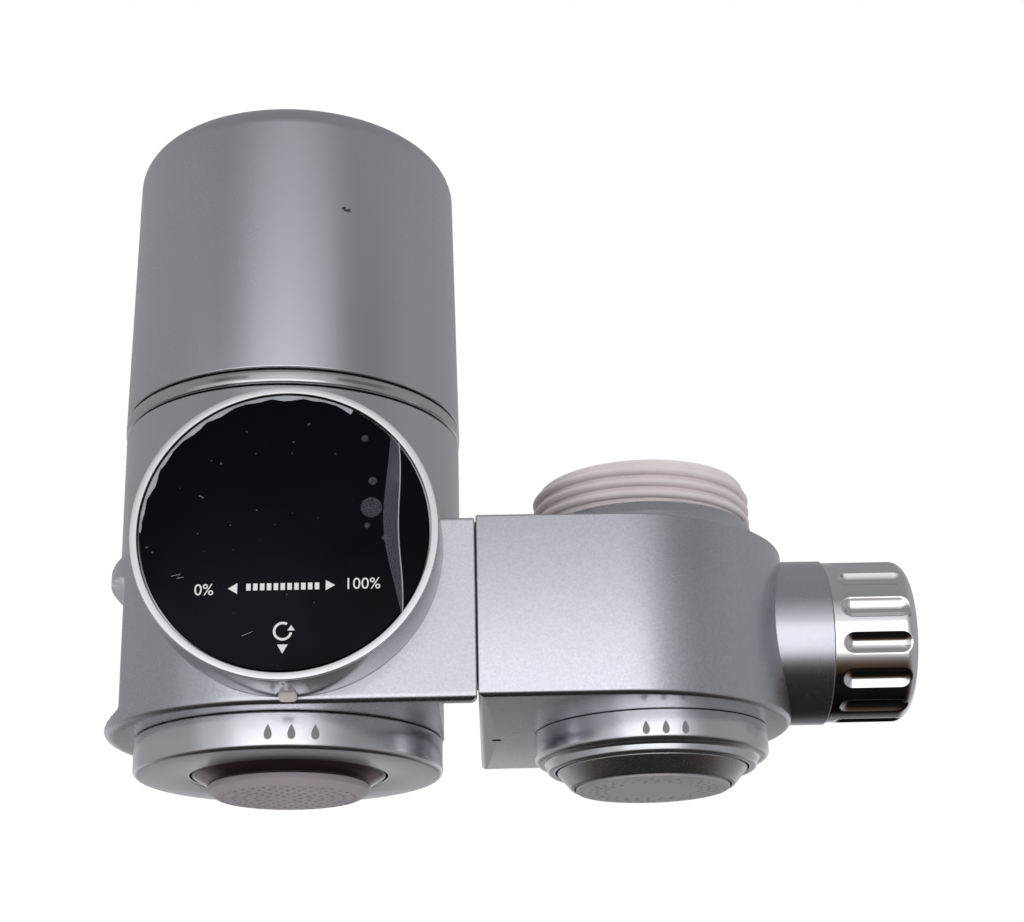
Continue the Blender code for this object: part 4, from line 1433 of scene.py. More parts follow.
@dataclass
class HousingAssembly(Assembly):
    """Block, barrel, battery socket and the parts in its left end and notch."""

    radius: float = 33.0
    height: float = 31.6
    seam: float = 34.5
    block_end: float = 28.1
    hood_wall: float = 2.7
    barrel_radius: float = 31.4
    barrel_top: float = 57.3
    spigot_radius: float = 28.9
    spigot_top: float = 65.3
    socket_radius: float = 9.65
    socket_floor: float = 23.8
    cap_face: float = 27.7
    slot_half_width: float = 0.8
    slot_reach: float = 3.9
    corner_axes: tuple[float, float] = (27.9, 33.05)
    outlet_bore: float = 12.3
    bowl_radius: float = 27.0
    bowl_floor: float = 34.6
    well_radius: float = 6.5
    boss_radius: float = 24.5
    nut_radius: float = 8.6
    edges: tuple[float, float] = (1.05, 0.4)

    def build(self) -> None:
        """Builds the housing and what closes it."""
        roof = self.height - self.hood_wall
        block = d_body(
            Form("housing_block", FILTER),
            0,
            self.radius,
            self.seam,
            (0.0, self.height),
            self.edges,
            EndFlat(),
        )
        made = block.object(self.palette["satin_silver"])
        notch = Form("notch", FILTER).block(
            (self.block_end, self.hood_wall - self.radius, -5),
            (self.seam + 5, self.radius + 5, roof),
        )
        across, along = self.corner_axes
        turns = [math.radians(angle) for angle in range(0, 91, 2)]
        curve = [(across * math.cos(turn), along * math.sin(turn)) for turn in turns]
        corner = Form("corner", FILTER).plate([*curve, (0, 40), (40, 40), (40, 0)], -5, roof)
        socket = Form("socket", BATTERY).rod(self.socket_radius, self.socket_floor, 38)
        tunnel = Form("tunnel", COUPLING).rod(COUPLING_BORE, 15, 30, 48)
        outlet = Form("outlet", FILTER).rod(self.outlet_bore, -3, 7, 64)
        bowl = Form("bowl", FILTER).rod(self.bowl_radius, self.height - 2, self.height + 5)
        plain = self.palette["satin_silver"]
        carve(made, *(form.object(plain) for form in (notch, corner, socket, tunnel, outlet, bowl)))
        self.keep(made, Body.FIXED, "satin_silver", ["filter_housing"])
        barrel = Form("housing_barrel", FILTER).revolve(
            [
                (self.barrel_radius, self.height - 1.0),
                (self.barrel_radius, self.barrel_top, 0.35),
                (self.spigot_radius, self.barrel_top),
                (self.spigot_radius, self.barrel_top + 4.0),
                (self.spigot_radius - 1.0, self.barrel_top + 4.1),
                (self.spigot_radius - 1.0, self.barrel_top + 5.3),
                (self.spigot_radius, self.barrel_top + 5.4),
                (self.spigot_radius, self.spigot_top, 0.6),
                (self.bowl_radius, self.spigot_top, 0.3),
                (self.bowl_radius, self.bowl_floor, 2.0),
                (self.well_radius, self.bowl_floor),
                (self.well_radius, self.height - 1.0),
            ],
            192,
            5,
        )
        self.add(barrel, "smooth_silver", "satin_silver")
        boss = Form("display_boss", DISPLAY).rod(self.boss_radius, -9.0, -0.1, 160)
        self.keep(boss.object(plain), Body.FIXED, "satin_silver")
        self.battery_cap()
        self.coupling_nut()

    def battery_cap(self) -> None:
        """Builds the slotted cap in the socket."""
        rim = self.socket_radius - 0.3
        face = self.cap_face
        cap = Form("slotted_cap", BATTERY).revolve(
            [
                (0, face - 3.6),
                (rim, face - 3.6),
                (rim, face, 0.4),
                (rim - 1.4, face, 0.25),
                (rim - 1.7, face - 0.4, 0.2),
                (0, face - 0.4),
            ],
            128,
        )
        made = cap.object(self.palette["satin_silver"])
        half, end = self.slot_half_width, self.slot_reach
        outline = arc(half, 0, 180, 16, (0.0, end)) + arc(half, 180, 180, 16, (0.0, -end))
        slot = Form("slot", BATTERY).plate(outline, face - 1.5, face + 1)
        carve(made, slot.object(self.palette["satin_silver"]))
        self.keep(made, Body.BATTERY_DOOR, "satin_silver", ["battery_cap"])

    def coupling_nut(self) -> None:
        """Builds the six-sided union nut with its chamfered corners."""
        low, high = self.block_end + 0.3, self.seam - 0.3
        radius = self.nut_radius
        rows = []
        for inset, z in ((0.6, low), (0.0, low + 0.5), (0.0, high - 0.5), (0.6, high)):
            ring = []
            for k in range(96):
                angle = 2 * math.pi * k / 96
                flat = (angle + math.pi / 6) % (math.pi / 3) - math.pi / 6
                side = radius * math.cos(math.pi / 6) / math.cos(math.pi / 6 - abs(flat))
                reach = min(side, radius - inset * 1.4)
                ring.append((reach * math.cos(angle), reach * math.sin(angle), z))
            rows.append(ring)
        turn = np.linspace(0, 2 * math.pi, 96, endpoint=False)
        circle = [(COUPLING_BORE * math.cos(a), COUPLING_BORE * math.sin(a)) for a in turn]
        rows += [[(x, y, z) for x, y in circle] for z in (high, low)]
        form = Form("union_nut", COUPLING).grid(np.array(rows), wrap_rows=True)
        self.add(form, "brass", "brass", "coupling_nut", crease=20)


@dataclass
class DisplayAssembly(Assembly):
    """The round display with its bright rim, printed scale, film and reset button."""

    radius: float = 25.1
    flare: float = 0.4
    rim: float = 1.25
    depth: float = 10.7
    recess: float = 0.5
    thick: float = 1.6
    figure_size: float = 2.7
    button_middle: float = 2.1
    button_half: float = 1.45
    scratches: tuple[tuple[float, float, float, float], ...] = (
        (-17.3, -7.3, 1.6, 14),
        (-16.6, -7.75, 1.1, 10),
        (-5.6, -17.3, 1.9, 24),
        (-13.6, 6.0, 0.9, -30),
    )

    def build(self) -> None:
        """Builds the drum, window, print, film and button."""
        cavity = self.radius - self.rim
        back = self.depth - self.recess - self.thick
        parting = self.depth - 0.62
        rim = Form("display_rim", DISPLAY).revolve(
            [
                (self.radius - 0.5, parting + 0.06),
                (self.radius, parting + 0.06, 0.1),
                (self.radius, self.depth, 0.16),
                (cavity, self.depth, 0.12),
                (cavity, parting - 0.4),
                (self.radius - 0.5, parting - 0.4),
            ],
            240,
            4,
        )
        self.add(rim, "bezel_silver", "bezel_silver")
        casing = Form("display_casing", DISPLAY).revolve(
            [
                (0, 0.04),
                (self.radius + self.flare - 0.22, 0.04),
                (self.radius + self.flare, 0.26),
                (self.radius + 0.04, parting, 0.1),
                (cavity, parting),
                (cavity, back - 0.3),
                (cavity - 1.6, back - 0.3),
                (cavity - 1.6, 1.9),
                (0, 1.9),
            ],
            240,
            4,
        )
        # The drum's side takes the darker copy of the bezel's silver: painted shade.
        made = casing.object(self.palette["casing_silver_painted_shade"])
        slot = Form("slot", DISPLAY).block((-1.6, -28, 0.8), (1.6, -21, 3.35))
        groove = Form("groove", DISPLAY).block((-0.3, -28, 4.3), (0.3, -24.9, 9.2))
        carve(made, *(form.object(self.palette["bezel_silver"]) for form in (slot, groove)))
        self.keep(made, Body.FIXED, "bezel_silver", ["display_bezel"])
        face = back + self.thick
        window = Form("window", DISPLAY).revolve(
            [(0, back), (cavity - 0.3, back), (cavity - 0.3, face, 0.25), (0, face)], 160
        )
        self.add(window, "display_black", "display_black", "display_window")
        self.printed(face)
        self.film(face)
        self.button()

    def printed(self, face: float) -> None:
        """Prints the scale: its two end values, arrows, bars and the mark over the button.

        Args:
            face: Height of the window's face.
        """
        low, high = face - 0.02, face + 0.03
        marks = Form("scale_arrows", DISPLAY)
        marks.plate([(-8.9, -9.75), (-7.4, -10.65), (-7.4, -8.85)], low, high)
        marks.plate([(8.3, -9.45), (6.8, -8.6), (6.8, -10.3)], low, high)
        marks.plate([(-0.85, -19.2), (0.0, -20.7), (0.85, -19.2)], low, high)
        self.add(marks, "print_white", "display_black")
        bars = seed("scale_bars", DISPLAY, self.palette["print_white"])
        level = DISPLAY.place(np.array([[-5.6, -9.55, face + 0.005]]))[0]
        bar_row(self.palette["print_white"]).grow(
            bars, Bars=11, Pitch=1.1 * MM, Wide=0.72 * MM, Tall=1.15 * MM, Thick=0.05 * MM,
            X=float(level[0]), Y=float(level[1]), Z=float(level[2]),
        )
        self.keep(bars, Body.FIXED, "display_black")
        middle = (0.0, -17.0)
        outer, inner = (arc(radius, 60, 290, 40, middle) for radius in (1.55, 1.15))
        turn = Form("turn_mark", DISPLAY).plate(outer + inner[::-1], low, high)
        turn.plate([(0.75, -16.9), (1.95, -16.9), (1.35, -16.0)], low, high)
        self.add(turn, "print_white", "display_black")
        for words, x, y in (("0%", -12.75, -9.95), ("100%", 12.7, -9.35)):
            self.keep(self.number(words, x, y, face), Body.FIXED, "display_black")

    def number(self, words: str, x: float, y: float, face: float) -> bpy.types.Object:
        """Makes one printed end value of the scale as a thin mesh.

        Args:
            words: The figure.
            x: Its centre.
            y: Its centre.
            face: Height of the window's face.

        Returns:
            The mesh object.
        """
        curve = bpy.data.curves.new("figure", "FONT")
        curve.body = words
        curve.align_x = "CENTER"
        curve.align_y = "CENTER"
        curve.size = self.figure_size
        curve.resolution_u = 4
        curve.extrude = 0.02
        text = bpy.data.objects.new("figure", curve)
        bpy.context.scene.collection.objects.link(text)
        graph = bpy.context.evaluated_depsgraph_get()
        mesh = bpy.data.meshes.new_from_object(text.evaluated_get(graph))
        bpy.data.objects.remove(text, do_unlink=True)
        flat = np.array([v.co for v in mesh.vertices])
        world = DISPLAY.place(flat + np.array([x, y, face + 0.005]))
        for vertex, point in zip(mesh.vertices, world):
            vertex.co = point
        clean(mesh)
        mesh.materials.clear()
        mesh.materials.append(self.palette["print_white"])
        made = bpy.data.objects.new("scale_" + words.strip("%"), mesh)
        bpy.context.scene.collection.objects.link(made)
        return made

    def film(self, face: float) -> None:
        """Lays the protective film on the window, with its fold, bubbles and crumpled top edge.

        Args:
            face: Height of the window's face.
        """
        chooser = random.Random(7)
        fold = Form("film_fold", DISPLAY)
        rows = []
        for i in range(25):
            share = i / 24
            y = 16.6 - 31.8 * share
            x = 18.5 + 0.5 * share + 0.25 * math.sin(9 * share)
            wide = 0.10 + 2.4 * math.sin(math.pi * min(1.0, 0.12 + share * 0.9)) ** 0.8
            lift = 0.30 * math.sin(math.pi * share) + 0.05
            rows.append(
                [
                    (x - wide, y, face + 0.02),
                    (x - wide * 0.4, y, face + 0.02 + lift * 0.4),
                    (x, y, face + 0.03 + lift),
                    (x + 0.12, y, face + 0.02),
                ]
            )
        fold.grid(np.array(rows), caps=True)
        self.add(fold, "clear_film", "display_black", crease=60)
        edge = Form("film_edge", DISPLAY)
        bead = [
            [(x - 0.09, y, z - 0.02), (x, y, z + 0.06), (x + 0.09, y, z - 0.02)]
            for x, y, z in (row[2] for row in rows)
        ]
        edge.grid(np.array(bead), caps=True)
        rim_rows = []
        inner = self.radius - self.rim - 0.35
        for i in range(90):
            angle = math.radians(62 + 118 * i / 89)
            ripple = abs(math.sin(13 * angle)) * abs(math.cos(5.3 * angle + 1))
            wave = 0.35 * ripple + 0.05 * chooser.random()
            reach = inner - 0.25 - 1.5 * wave
            direction = np.array([math.cos(angle), math.sin(angle)])
            outer, middle = direction * inner, direction * reach
            rim_rows.append(
                [
                    (outer[0], outer[1], face + 0.05),
                    (outer[0], outer[1], face + 0.35 + 0.1 * wave),
                    (middle[0], middle[1], face + 0.05),
                ]
            )
        edge.grid(np.array(rim_rows), caps=True)
        # The bead and the crumpled top edge take the whiter film: painted highlights.
        self.add(edge, "film_highlight_and_scratch", "display_black", crease=60)
        bubbles = Form("film_bubbles", DISPLAY)
        spots = [
            (14.1, 3.7, 1.75),
            (14.3, 8.3, 0.7),
            (13.4, 0.6, 0.5),
            (16.2, -1.6, 0.45),
            (13.0, 15.8, 0.6),
        ]
        spots += [
            (chooser.uniform(-16, 15), chooser.uniform(-14, 17), chooser.uniform(0.06, 0.15))
            for _ in range(22)
        ]
        for x, y, size in spots:
            dome = [
                (0, face + 0.01),
                (size, face + 0.01),
                (size * 0.8, face + 0.01 + min(0.16, size * 0.2)),
                (0, face + 0.02 + min(0.24, size * 0.3)),
            ]
            bubbles.revolve(dome, 20, 1, (x, y))
        self.add(bubbles, "film_spot", "display_black", crease=80)
        scratches = Form("film_scratches", DISPLAY)
        for x, y, long, angle in self.scratches:
            cosine, sine = math.cos(math.radians(angle)), math.sin(math.radians(angle))
            ends = [(-long / 2, -0.05), (long / 2, -0.02), (long / 2, 0.03), (-long / 2, 0.06)]
            outline = [
                (x + a * cosine - b * sine, y + a * sine + b * cosine) for a, b in ends
            ]
            scratches.plate(outline, face, face + 0.03)
        self.add(scratches, "film_highlight_and_scratch", "display_black")

    def button(self) -> None:
        """Builds the small button under the rim, softly rounded."""
        half = self.button_half
        tip = -(self.radius + self.flare) - 1.1
        rows = []
        for y, shrink in ((-20.9, 0.0), (tip + 0.5, 0.0), (tip + 0.15, 0.15), (tip, 0.5)):
            ring = []
            for k in range(32):
                angle = 2 * math.pi * k / 32
                c, s = math.cos(angle), math.sin(angle)
                x = (half - shrink) * math.copysign(abs(c) ** 0.4, c)
                z = (1.0 - shrink) * math.copysign(abs(s) ** 0.4, s)
                ring.append((x, y, self.button_middle + z))
            rows.append(ring)
        form = Form("reset_nub", DISPLAY).grid(np.array(rows), caps=True)
        self.add(form, "reset_plastic", "reset_plastic", "reset_button", body=Body.RESET, crease=50)


@dataclass
class ValveAssembly(Assembly):
    """The valve body, its neck, the threaded inlet and the outlet below."""

    radius: float = 33.0
    centre: float = -7.44
    left: float = -31.2
    low: float = 0.5
    high: float = 32.1
    edges: tuple[float, float] = (1.05, 0.4)
    neck_radius: float = 15.25
    neck_end: float = 32.3
    neck_sink: float = 0.3
    neck_edge: float = 0.08
    gland_radius: float = 10.6
    spindle_bore: float = 4.3
    chamber_radius: float = 10.85
    chamber_start: float = -11.75
    pin_radius: float = 0.95
    inlet_bore: float = 15.6
    collar_top: float = 38.4
    ridge_turns: float = 2.9
    ridge_pitch: float = 2.2
    ridge_root: float = 19.72
    ridge_foot: float = 39.6
    ridge_radius: float = 0.72
    hole_rings: tuple[tuple[int, float, float], ...] = (
        (30, 11.5, 0.0),
        (30, 10.2, 6.0),
        (24, 8.7, 0.0),
    )

    def build(self) -> None:
        """Builds every piece on the valve side that doesn't turn."""
        body = d_body(
            Form("valve_shell", VALVE),
            self.centre,
            self.radius,
            self.left,
            (self.low, self.high),
            self.edges,
        )
        plain = self.palette["satin_silver"]
        made = body.object(plain)
        pin = Form("pin", VALVE).rod(self.pin_radius, -1, 6.0, 24, (self.left + 3.0, 3.5))
        inlet = Form("inlet", VALVE).rod(self.inlet_bore, 26, 35, 64)
        outlet = Form("outlet", VALVE).rod(12, -3, 4, 64)
        mouth = Form("mouth", VALVE_SIDE).rod(COUPLING_BORE, -5, 8, 48)
        chamber = Form("chamber", KNOB).rod(self.chamber_radius, self.chamber_start, 30)
        carve(made, *(form.object(plain) for form in (pin, inlet, outlet, mouth, chamber)))
        self.keep(made, Body.FIXED, "satin_silver", ["valve_body"])
        # A block in the seam in near black: painted shade in the gap.
        step = Form("seam_step", VALVE)
        near, far = self.left - 0.17, self.left + 0.3
        bend, top = 2.2 - self.radius, self.high - 1.0
        step.block((near, 0.9 - self.radius, 2.0), (far, bend, top))
        step.block((near, bend, self.high - 2.3), (far, self.radius - 1.0, top))
        self.add(step, "chips_and_painted_shade", "satin_silver")
        self.neck()
        self.collar()
        self.thread()
        self.original_outlet()

    def neck(self) -> None:
        """Builds the neck, whose root follows the body's round end."""
        turn = np.linspace(0, 2 * math.pi, 160, endpoint=False)
        rows = [self.saddle(radius, turn) for radius in (self.gland_radius, self.neck_radius)]
        outline = [
            (self.neck_radius, self.neck_end - self.neck_edge),
            (self.neck_radius - self.neck_edge, self.neck_end),
            (self.spindle_bore, self.neck_end),
            (self.spindle_bore, self.neck_end - 9),
            (self.gland_radius, self.neck_end - 9),
        ]
        for radius, z in outline:
            rows.append([(radius * math.cos(a), radius * math.sin(a), z) for a in turn])
        form = Form("selector_neck", KNOB).grid(np.array(rows), wrap_rows=True)
        self.add(form, "smooth_silver", "satin_silver", "neck_sleeve")

    def saddle(self, radius: float, turn: np.ndarray) -> list[tuple[float, float, float]]:
        """One ring of the neck's root, sunk a little into the body's round end.

        Args:
            radius: The ring's radius.
            turn: Its angles.

        Returns:
            The ring's points.
        """
        wall = self.radius - self.neck_sink
        ring = []
        for a in turn:
            x, y = radius * math.cos(a), radius * math.sin(a)
            ring.append((x, y, self.centre + math.sqrt(wall**2 - y**2)))
        return ring

    def collar(self) -> None:
        """Builds the sloped collar round the inlet."""
        outline = [
            (self.inlet_bore, self.high + 0.1),
            (22.0, self.high + 0.1),
            (21.75, self.high + 1.0, 0.4),
            (21.0, 36.6, 1.6),
            (20.35, self.collar_top, 0.35),
            (self.inlet_bore, self.collar_top),
        ]
        form = Form("inlet_skirt", VALVE).revolve(outline, 160, 6)
        self.add(form, "smooth_silver", "satin_silver", "inlet_collar")

    def thread(self) -> None:
        """Builds the inlet tube and winds its screw thread."""
        material = self.palette["inlet_plastic"]
        tube = Form("inlet_tube", VALVE).revolve(
            [
                (15.3, 29.4),
                (15.3, self.collar_top),
                (19.55, 38.7, 0.2),
                (19.55, 46.2, 0.3),
                (19.1, 46.9, 0.3),
                (15.6, 46.9, 0.5),
                (15.6, 41.7),
                (12.0, 41.7, 0.4),
                (12.0, 29.4),
            ],
            160,
            4,
        )
        self.keep(tube.object(material), Body.FIXED, "inlet_plastic", ["inlet_thread"])
        ridge = seed("inlet_ridge", VALVE, material)
        winding_ridge(material).grow(
            ridge,
            Turns=self.ridge_turns,
            Rise=self.ridge_turns * self.ridge_pitch * MM,
            Root=self.ridge_root * MM,
            Foot=(VALVE.z + self.ridge_foot) * MM,
            Width=self.ridge_radius * MM,
        )
        self.keep(ridge, Body.FIXED, "inlet_plastic")
        plate = Form("strainer_rim", VALVE).revolve(
            [(11.0, 42.0), (15.3, 42.0), (15.3, 42.9, 0.2), (11.0, 42.9, 0.2)], 96
        )
        self.add(plate, "steel", "steel", "inlet_strainer")
        wires = seed("strainer_mesh", VALVE, self.palette["steel"])
        wire_mesh(self.palette["steel"]).grow(
            wires,
            Wires=19,
            Pitch=1.2 * MM,
            Wire=0.2 * MM,
            Reach=11.4 * MM,
            Level=(VALVE.z + 42.4) * MM,
        )
        self.keep(wires, Body.FIXED, "steel")
        washer = Form("washer", VALVE).revolve(
            [(11.0, 43.2, 0.3), (15.3, 43.2, 0.3), (15.3, 46.3, 0.4), (11.0, 46.3, 0.4)], 96
        )
        self.add(washer, "rubber", "rubber", "inlet_washer")

    def original_outlet(self) -> None:
        """Builds the ring, dark cone and perforated plate of the unfiltered outlet."""
        ring = Form("original_outlet_ring", VALVE).revolve(
            [
                (11.0, 0.42),
                (21.3, 0.42, 0.15),
                (21.3, -4.9, 1.1),
                (19.6, -4.9, 0.1),
                (19.3, -5.25, 0.15),
                (18.95, -6.6, 0.75),
                (17.6, -6.6, 0.25),
                (17.6, -3.4),
                (11.0, -3.4),
            ],
            160,
            6,
        )
        # The ring takes the lighter copy of the satin silver: painted light.
        self.add(ring, "ring_silver_painted_light", "satin_silver", "original_ring")
        cone = Form("original_outlet_cone", VALVE).revolve(
            [
                (11.5, -3.7),
                (17.3, -3.7),
                (17.3, -6.6, 0.5),
                (14.9, -9.4, 0.5),
                (14.3, -9.6, 0.1),
                (14.3, -8.2),
                (11.5, -8.2),
            ],
            160,
            6,
        )
        self.add(cone, "dark_satin", "dark_satin", "original_cone")
        plate = Form("original_outlet_plate", VALVE).revolve(
            [(0, -10.1), (14.0, -10.1, 0.5), (14.0, -8.5), (0, -8.5)], 128, 5
        )
        material = self.palette["grey_plastic"]
        made = plate.object(material)
        drill_rings(made, material, VALVE, self.hole_rings, bore=0.38, level=-9.6, depth=1.9)
        self.keep(made, Body.FIXED, "grey_plastic", ["original_spray_plate"])


@dataclass
class FilteredOutlet(Assembly):
    """The wide ring, clear nozzle and spray plate under the filter."""

    radius: float = 27.8
    opening: float = 17.8
    hole_rings: tuple[tuple[int, float, float], ...] = (
        (6, 2.0, 5.0),
        (12, 4.0, 5.0),
        (18, 6.0, 5.0),
        (24, 8.0, 5.0),
        (30, 10.0, 5.0),
        (36, 12.0, 5.0),
    )

    def build(self) -> None:
        """Builds the three pieces."""
        ring = Form("filtered_outlet_ring", FILTER).revolve(
            [
                (10.4, 3.0),
                (12.0, 3.0),
                (12.0, -0.1),
                (self.radius, -0.1, 0.35),
                (self.radius, -6.4, 0.95),
                (self.opening, -6.4, 0.4),
                (self.opening, -2.2),
                (10.4, -2.2),
            ],
            192,
            8,
        )
        # The ring takes the lighter copy of the satin silver: painted light.
        self.add(ring, "ring_silver_painted_light", "satin_silver", "filtered_ring")
        nozzle = Form("clear_nozzle", FILTER).revolve(
            [
                (12.1, -2.5),
                (17.5, -2.5, 0.2),
                (17.5, -6.2, 0.7),
                (14.7, -7.8, 0.3),
                (12.1, -7.8, 0.1),
                (12.1, -6.2, 0.1),
                (13.7, -6.2, 0.4),
                (15.9, -5.0, 0.5),
                (15.9, -3.9, 0.3),
                (12.1, -3.9),
            ],
            160,
            5,
        )
        self.add(nozzle, "clear_plastic", "clear_plastic", "filtered_nozzle")
        plate = Form("spray_face", FILTER).revolve(
            [(0, -10.1), (12.9, -10.1, 1.5), (14.4, -9.1, 0.5), (14.4, -7.85, 0.2), (0, -7.85)],
            128,
            6,
        )
        material = self.palette["spray_plastic"]
        made = plate.object(material)
        drill_rings(made, material, FILTER, self.hole_rings, bore=0.4, level=-9.8, depth=1.6)
        self.keep(made, Body.FIXED, "spray_plastic", ["filtered_spray_plate"])


@dataclass
class SelectorKnob(Assembly):
    """The bright knob with its scooped flutes."""

    start: float = 32.4
    length: float = 15.4
    radius: float = 14.9
    edge: float = 2.6
    flutes: int = 14
    flute_width: float = 3.9
    flute_depth: float = 1.1
    flute_turn: float = math.radians(2)
    flute_lip: float = 0.06
    lead: float = 1.6
    tail: float = 1.4
    back_edge: float = 0.1
    cavity: float = 12.3
    web: float = 3.0

    def depth(self, angle: np.ndarray, height: float) -> np.ndarray:
        """How deep the flutes cut at each angle of one height.

        Args:
            angle: Angles round the axis.
            height: Distance along the axis.

        Returns:
            The cut's depth in millimetres.
        """
        pitch = 2 * math.pi / self.flutes
        across = ((angle - self.flute_turn + pitch / 2) % pitch - pitch / 2) * self.radius
        half = self.flute_width / 2
        first = self.start + self.lead + half
        last = self.start + self.length - half - self.tail
        along = max(first - height, 0.0, height - last)
        reach = np.sqrt(across**2 + along**2) / half
        bowl = np.clip(1 - reach**2, 0, None)
        lip = self.flute_lip
        return self.flute_depth * (np.sqrt(bowl**2 + lip**2) - lip) * (reach < 1.15)

    def build(self) -> None:
        """Builds the knob as a fine grid whose radius dips at each flute."""
        end = self.start + self.length
        foot = self.start + self.back_edge
        rise = self.length - self.back_edge - self.edge
        outline = [(self.radius - self.back_edge, self.start), (self.radius, foot)]
        outline += [(self.radius, foot + rise * k / 60) for k in range(1, 61)]
        outline += arc(self.edge, 0, 90, 16, (self.radius - self.edge, end - self.edge))[1:]
        turn = np.linspace(0, 2 * math.pi, self.flutes * 48, endpoint=False)
        rows = []
        rings = [(radius - self.depth(turn, height), height) for radius, height in outline]
        web = end - self.web
        rings += [(1e-5, end), (1e-5, web), (self.cavity, web), (self.cavity, self.start)]
        for radius, height in rings:
            level = np.full_like(turn, height)
            rows.append(np.stack([radius * np.cos(turn), radius * np.sin(turn), level], -1))
        form = Form("fluted_knob", KNOB).grid(np.array(rows), wrap_rows=True)
        self.add(form, "chrome", "chrome", "selector_knob", body=Body.SELECTOR, crease=50)


@dataclass
class OutletMarks(Assembly):
    """Plain drop marks on the two outlet rings, in place of words."""

    def build(self) -> None:
        """Wraps the marks round the rings' sides."""
        self.row("filtered_marks", FILTER, 27.8, -3.6, 3.5, (-3.9, 0.0, 3.9), 2.6)
        self.row("original_marks", VALVE, 21.3, -2.75, 0.7, (-3.4, 0.0, 3.4), 2.4)

    def row(
        self,
        name: str,
        seat: Seat,
        radius: float,
        height: float,
        middle: float,
        places: Sequence[float],
        tall: float,
    ) -> None:
        """Makes one row of drops.

        Args:
            name: The piece's name.
            seat: The ring's frame.
            radius: The ring's radius.
            height: The row's height.
            middle: Its centre along x.
            places: Each drop's offset along x.
            tall: A drop's height.
        """
        form = Form(name, seat)
        for place in places:
            ring = []
            for k in range(40):
                a = 2 * math.pi * k / 40
                wide = 0.34 * tall * math.sin(a) * (0.5 - 0.5 * math.cos(a)) ** 0.55
                ring.append((middle + place + wide, height + 0.5 * tall * math.cos(a)))
            rows = []
            for level in (radius - 0.1, radius + 0.02):
                rows.append([(x, -math.sqrt(level**2 - x**2), z) for x, z in ring])
            form.grid(np.array(rows), caps=True)
        self.add(form, "print_grey", "satin_silver")


# Studio


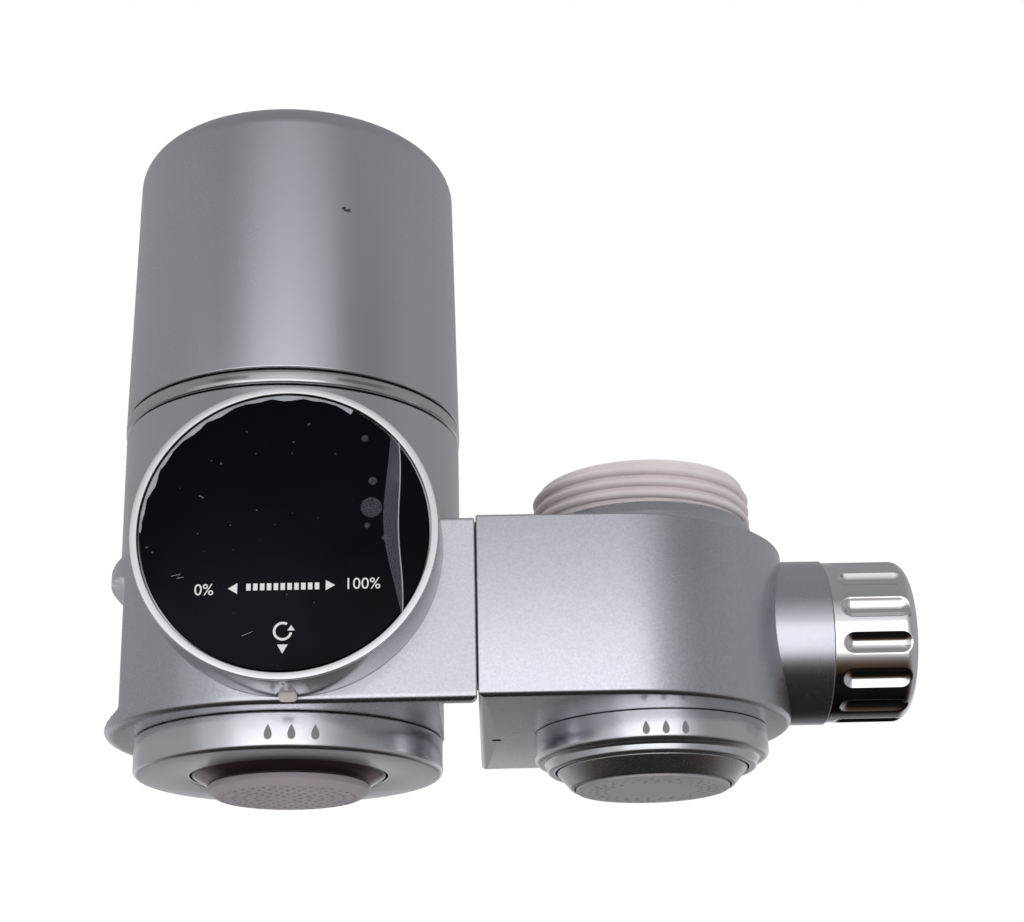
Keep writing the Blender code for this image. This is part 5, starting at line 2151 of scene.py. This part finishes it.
@dataclass
class Studio:
    """Camera, lamps, world and floor."""

    floor_height: float = -130.0

    def build(self) -> None:
        """Sets the whole stage."""
        self.camera()
        self.world()
        self.floor()
        self.lamp("front_panel", (-40, -700, 60), (0.45, 0.30), 0.45, (1.0, 0.995, 0.985))
        self.lamp("top_panel", (-60, -160, 700), (0.5, 0.5), 0.45, (0.98, 0.99, 1.0))
        bpy.context.scene.view_settings.view_transform = "Standard"

    def camera(self) -> None:
        """Puts the camera where the photograph was taken from."""
        data = bpy.data.cameras.new("camera")
        data.sensor_width = 36.0
        data.lens = 59.486
        data.shift_x = -0.01755
        data.shift_y = 0.11607
        data.clip_start = 0.01
        data.clip_end = 20.0
        made = bpy.data.objects.new("camera", data)
        bpy.context.scene.collection.objects.link(made)
        forward = Vector((0.02490, 0.95634, 0.29118)).normalized()
        level = forward.cross(Vector((0, 0, 1))).normalized()
        top = level.cross(forward)
        roll = math.radians(-1.49)
        right = level * math.cos(roll) + top * math.sin(roll)
        above = top * math.cos(roll) - level * math.sin(roll)
        place = Vector((-29.29, -304.73, -109.32)) * MM
        made.matrix_world = Matrix(
            (
                (right.x, above.x, -forward.x, place.x),
                (right.y, above.y, -forward.y, place.y),
                (right.z, above.z, -forward.z, place.z),
                (0, 0, 0, 1),
            )
        )
        bpy.context.scene.camera = made

    def world(self) -> None:
        """A white surround for the camera and glass, and a studio with a white back for metal."""
        world = bpy.data.worlds.new("surround")
        bpy.context.scene.world = world
        tree = ShaderTree(world, "Generated")
        path = tree.node("ShaderNodeLightPath")
        back = tree.axis("Y")
        height = tree.axis("Z")
        side = tree.axis("X")
        # Walls: even in front, brighter low down behind the part, with a glow round the camera.
        far_wall = back.band(0.6, 1.0, 0.0, 0.45) * height.band(0.45, -0.1)
        room = back.band(-1.0, 0.0, 0.30, 0.36) + far_wall
        glow = back.band(-0.60, -0.97) * 0.42 + back.band(-0.87, -0.97) * 0.20
        # The card in front that the flat faces show.
        panel = side.band(0.52, 0.32) * side.band(-0.62, -0.42)
        panel = panel * height.band(0.30, 0.18) * height.band(-0.60, -0.42)
        # Darker stretches: straight below, low down behind the part, and the ceiling.
        below = height.band(-0.38, -0.76) * 0.98
        under = height.band(0.02, -0.30) * back.band(-0.2, 0.4)
        under = under * side.magnitude().band(0.55, 0.25) * 0.72
        high = height.band(0.50, 0.80) * 0.2
        # A narrow dark strip over the card, open in its middle.
        shelf = height.band(0.32, 0.35) * height.band(0.46, 0.43) * back.band(0.1, -0.1)
        gap = side.band(-0.44, -0.34) * side.band(0.55, 0.48)
        dark = (1 - gap) * side.band(-0.76, -0.66) * side.band(0.92, 0.82) * shelf * 0.42
        studio = (room + glow) * (1 - below) * (1 - under) * (1 - high) * (1 - dark)
        # A second, weaker card at the left.
        left = side.band(-0.35, -0.55) * side.band(-0.93, -0.80)
        left = left * height.band(0.36, 0.28) * height.band(-0.60, -0.42)
        studio = studio + panel * back.band(0.0, -0.3) * 0.66 + gap * shelf * 0.05
        studio = studio + left * back.band(0.0, -0.2) * 0.3
        # A faint brown tint from low down.
        ember = height.band(-0.48, -0.60) * height.band(-0.88, -0.72) * back.band(0.5, 0.1) * 0.055
        level = tree.node(
            "ShaderNodeCombineColor",
            None,
            {0: studio + ember, 1: studio + ember * 0.55, 2: studio * 1.03 + ember * 0.3},
        )
        glossy = Value(tree, path.outputs["Is Glossy Ray"])
        lit = tree.blend(glossy, (0.80, 0.81, 0.83), level.outputs[0])
        through = Value(tree, path.outputs["Is Transmission Ray"])
        seen = Value(tree, path.outputs["Is Camera Ray"]) + through
        colour = tree.blend(seen.clamped(), lit, (1.0, 1.0, 1.0))
        sky = tree.node("ShaderNodeBackground", None, {0: colour})
        output = tree.node("ShaderNodeOutputWorld")
        tree.tree.links.new(sky.outputs[0], output.inputs[0])

    def floor(self) -> None:
        """Lays the pale floor, which lets reflections through to the surround."""
        material = bpy.data.materials.new("pale_floor")
        tree = ShaderTree(material)
        pale = tree.blend(tree.noise(8.0), (0.80, 0.80, 0.80), (0.83, 0.83, 0.83))
        shader = tree.surface(base_color=pale, roughness=0.7)
        path = tree.node("ShaderNodeLightPath")
        through = tree.node("ShaderNodeBsdfTransparent")
        mixed = tree.node(
            "ShaderNodeMixShader",
            None,
            {0: path.outputs["Is Glossy Ray"], 1: shader.outputs[0], 2: through.outputs[0]},
        )
        output = next(node for node in tree.tree.nodes if node.type == "OUTPUT_MATERIAL")
        tree.tree.links.new(mixed.outputs[0], output.inputs[0])
        form = Form("floor", Seat(0, 0, self.floor_height))
        form.block((-3000, -3000, -10), (3000, 3000, 0))
        form.object(material)

    def lamp(
        self,
        name: str,
        place: tuple[float, float, float],
        size: tuple[float, float],
        watts: float,
        colour: tuple[float, float, float],
    ) -> None:
        """Hangs one soft oblong lamp that looks at the part.

        Args:
            name: The lamp's name.
            place: Where it hangs, in millimetres.
            size: Its width and height in metres.
            watts: Its power.
            colour: Its colour.
        """
        data = bpy.data.lights.new(name, "AREA")
        data.shape = "RECTANGLE"
        data.size, data.size_y = size
        data.energy = watts
        data.color = colour
        made = bpy.data.objects.new(name, data)
        bpy.context.scene.collection.objects.link(made)
        made.visible_glossy = False
        made.location = Vector(place) * MM
        aim = Vector((-30, 0, -5)) * MM - made.location
        made.rotation_euler = aim.to_track_quat("-Z", "Y").to_euler()


def dress_nodes(frame: dict, palette: Palette) -> None:
    """Gives every CAD node the finish of its material slot.

    Args:
        palette: The finishes.
    """
    slots = {row["node"]: row["material_slot"] for row in frame["record"]["subparts"]}
    for name, node in frame["nodes"].items():
        node.data.materials.clear()
        node.data.materials.append(palette[slots[name]])


def main() -> None:
    """Builds every sub-assembly in order."""
    logging.basicConfig(level=logging.INFO, format="%(message)s")
    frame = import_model()
    palette = Palette()
    dress_nodes(frame, palette)
    makers: list[Callable[[Palette], Assembly]] = [
        HousingAssembly,
        CoverAssembly,
        DisplayAssembly,
        ValveAssembly,
        FilteredOutlet,
        SelectorKnob,
        OutletMarks,
    ]
    for maker in makers:
        maker(palette).build()
    Studio().build()


if __name__ == "__main__":
    main()
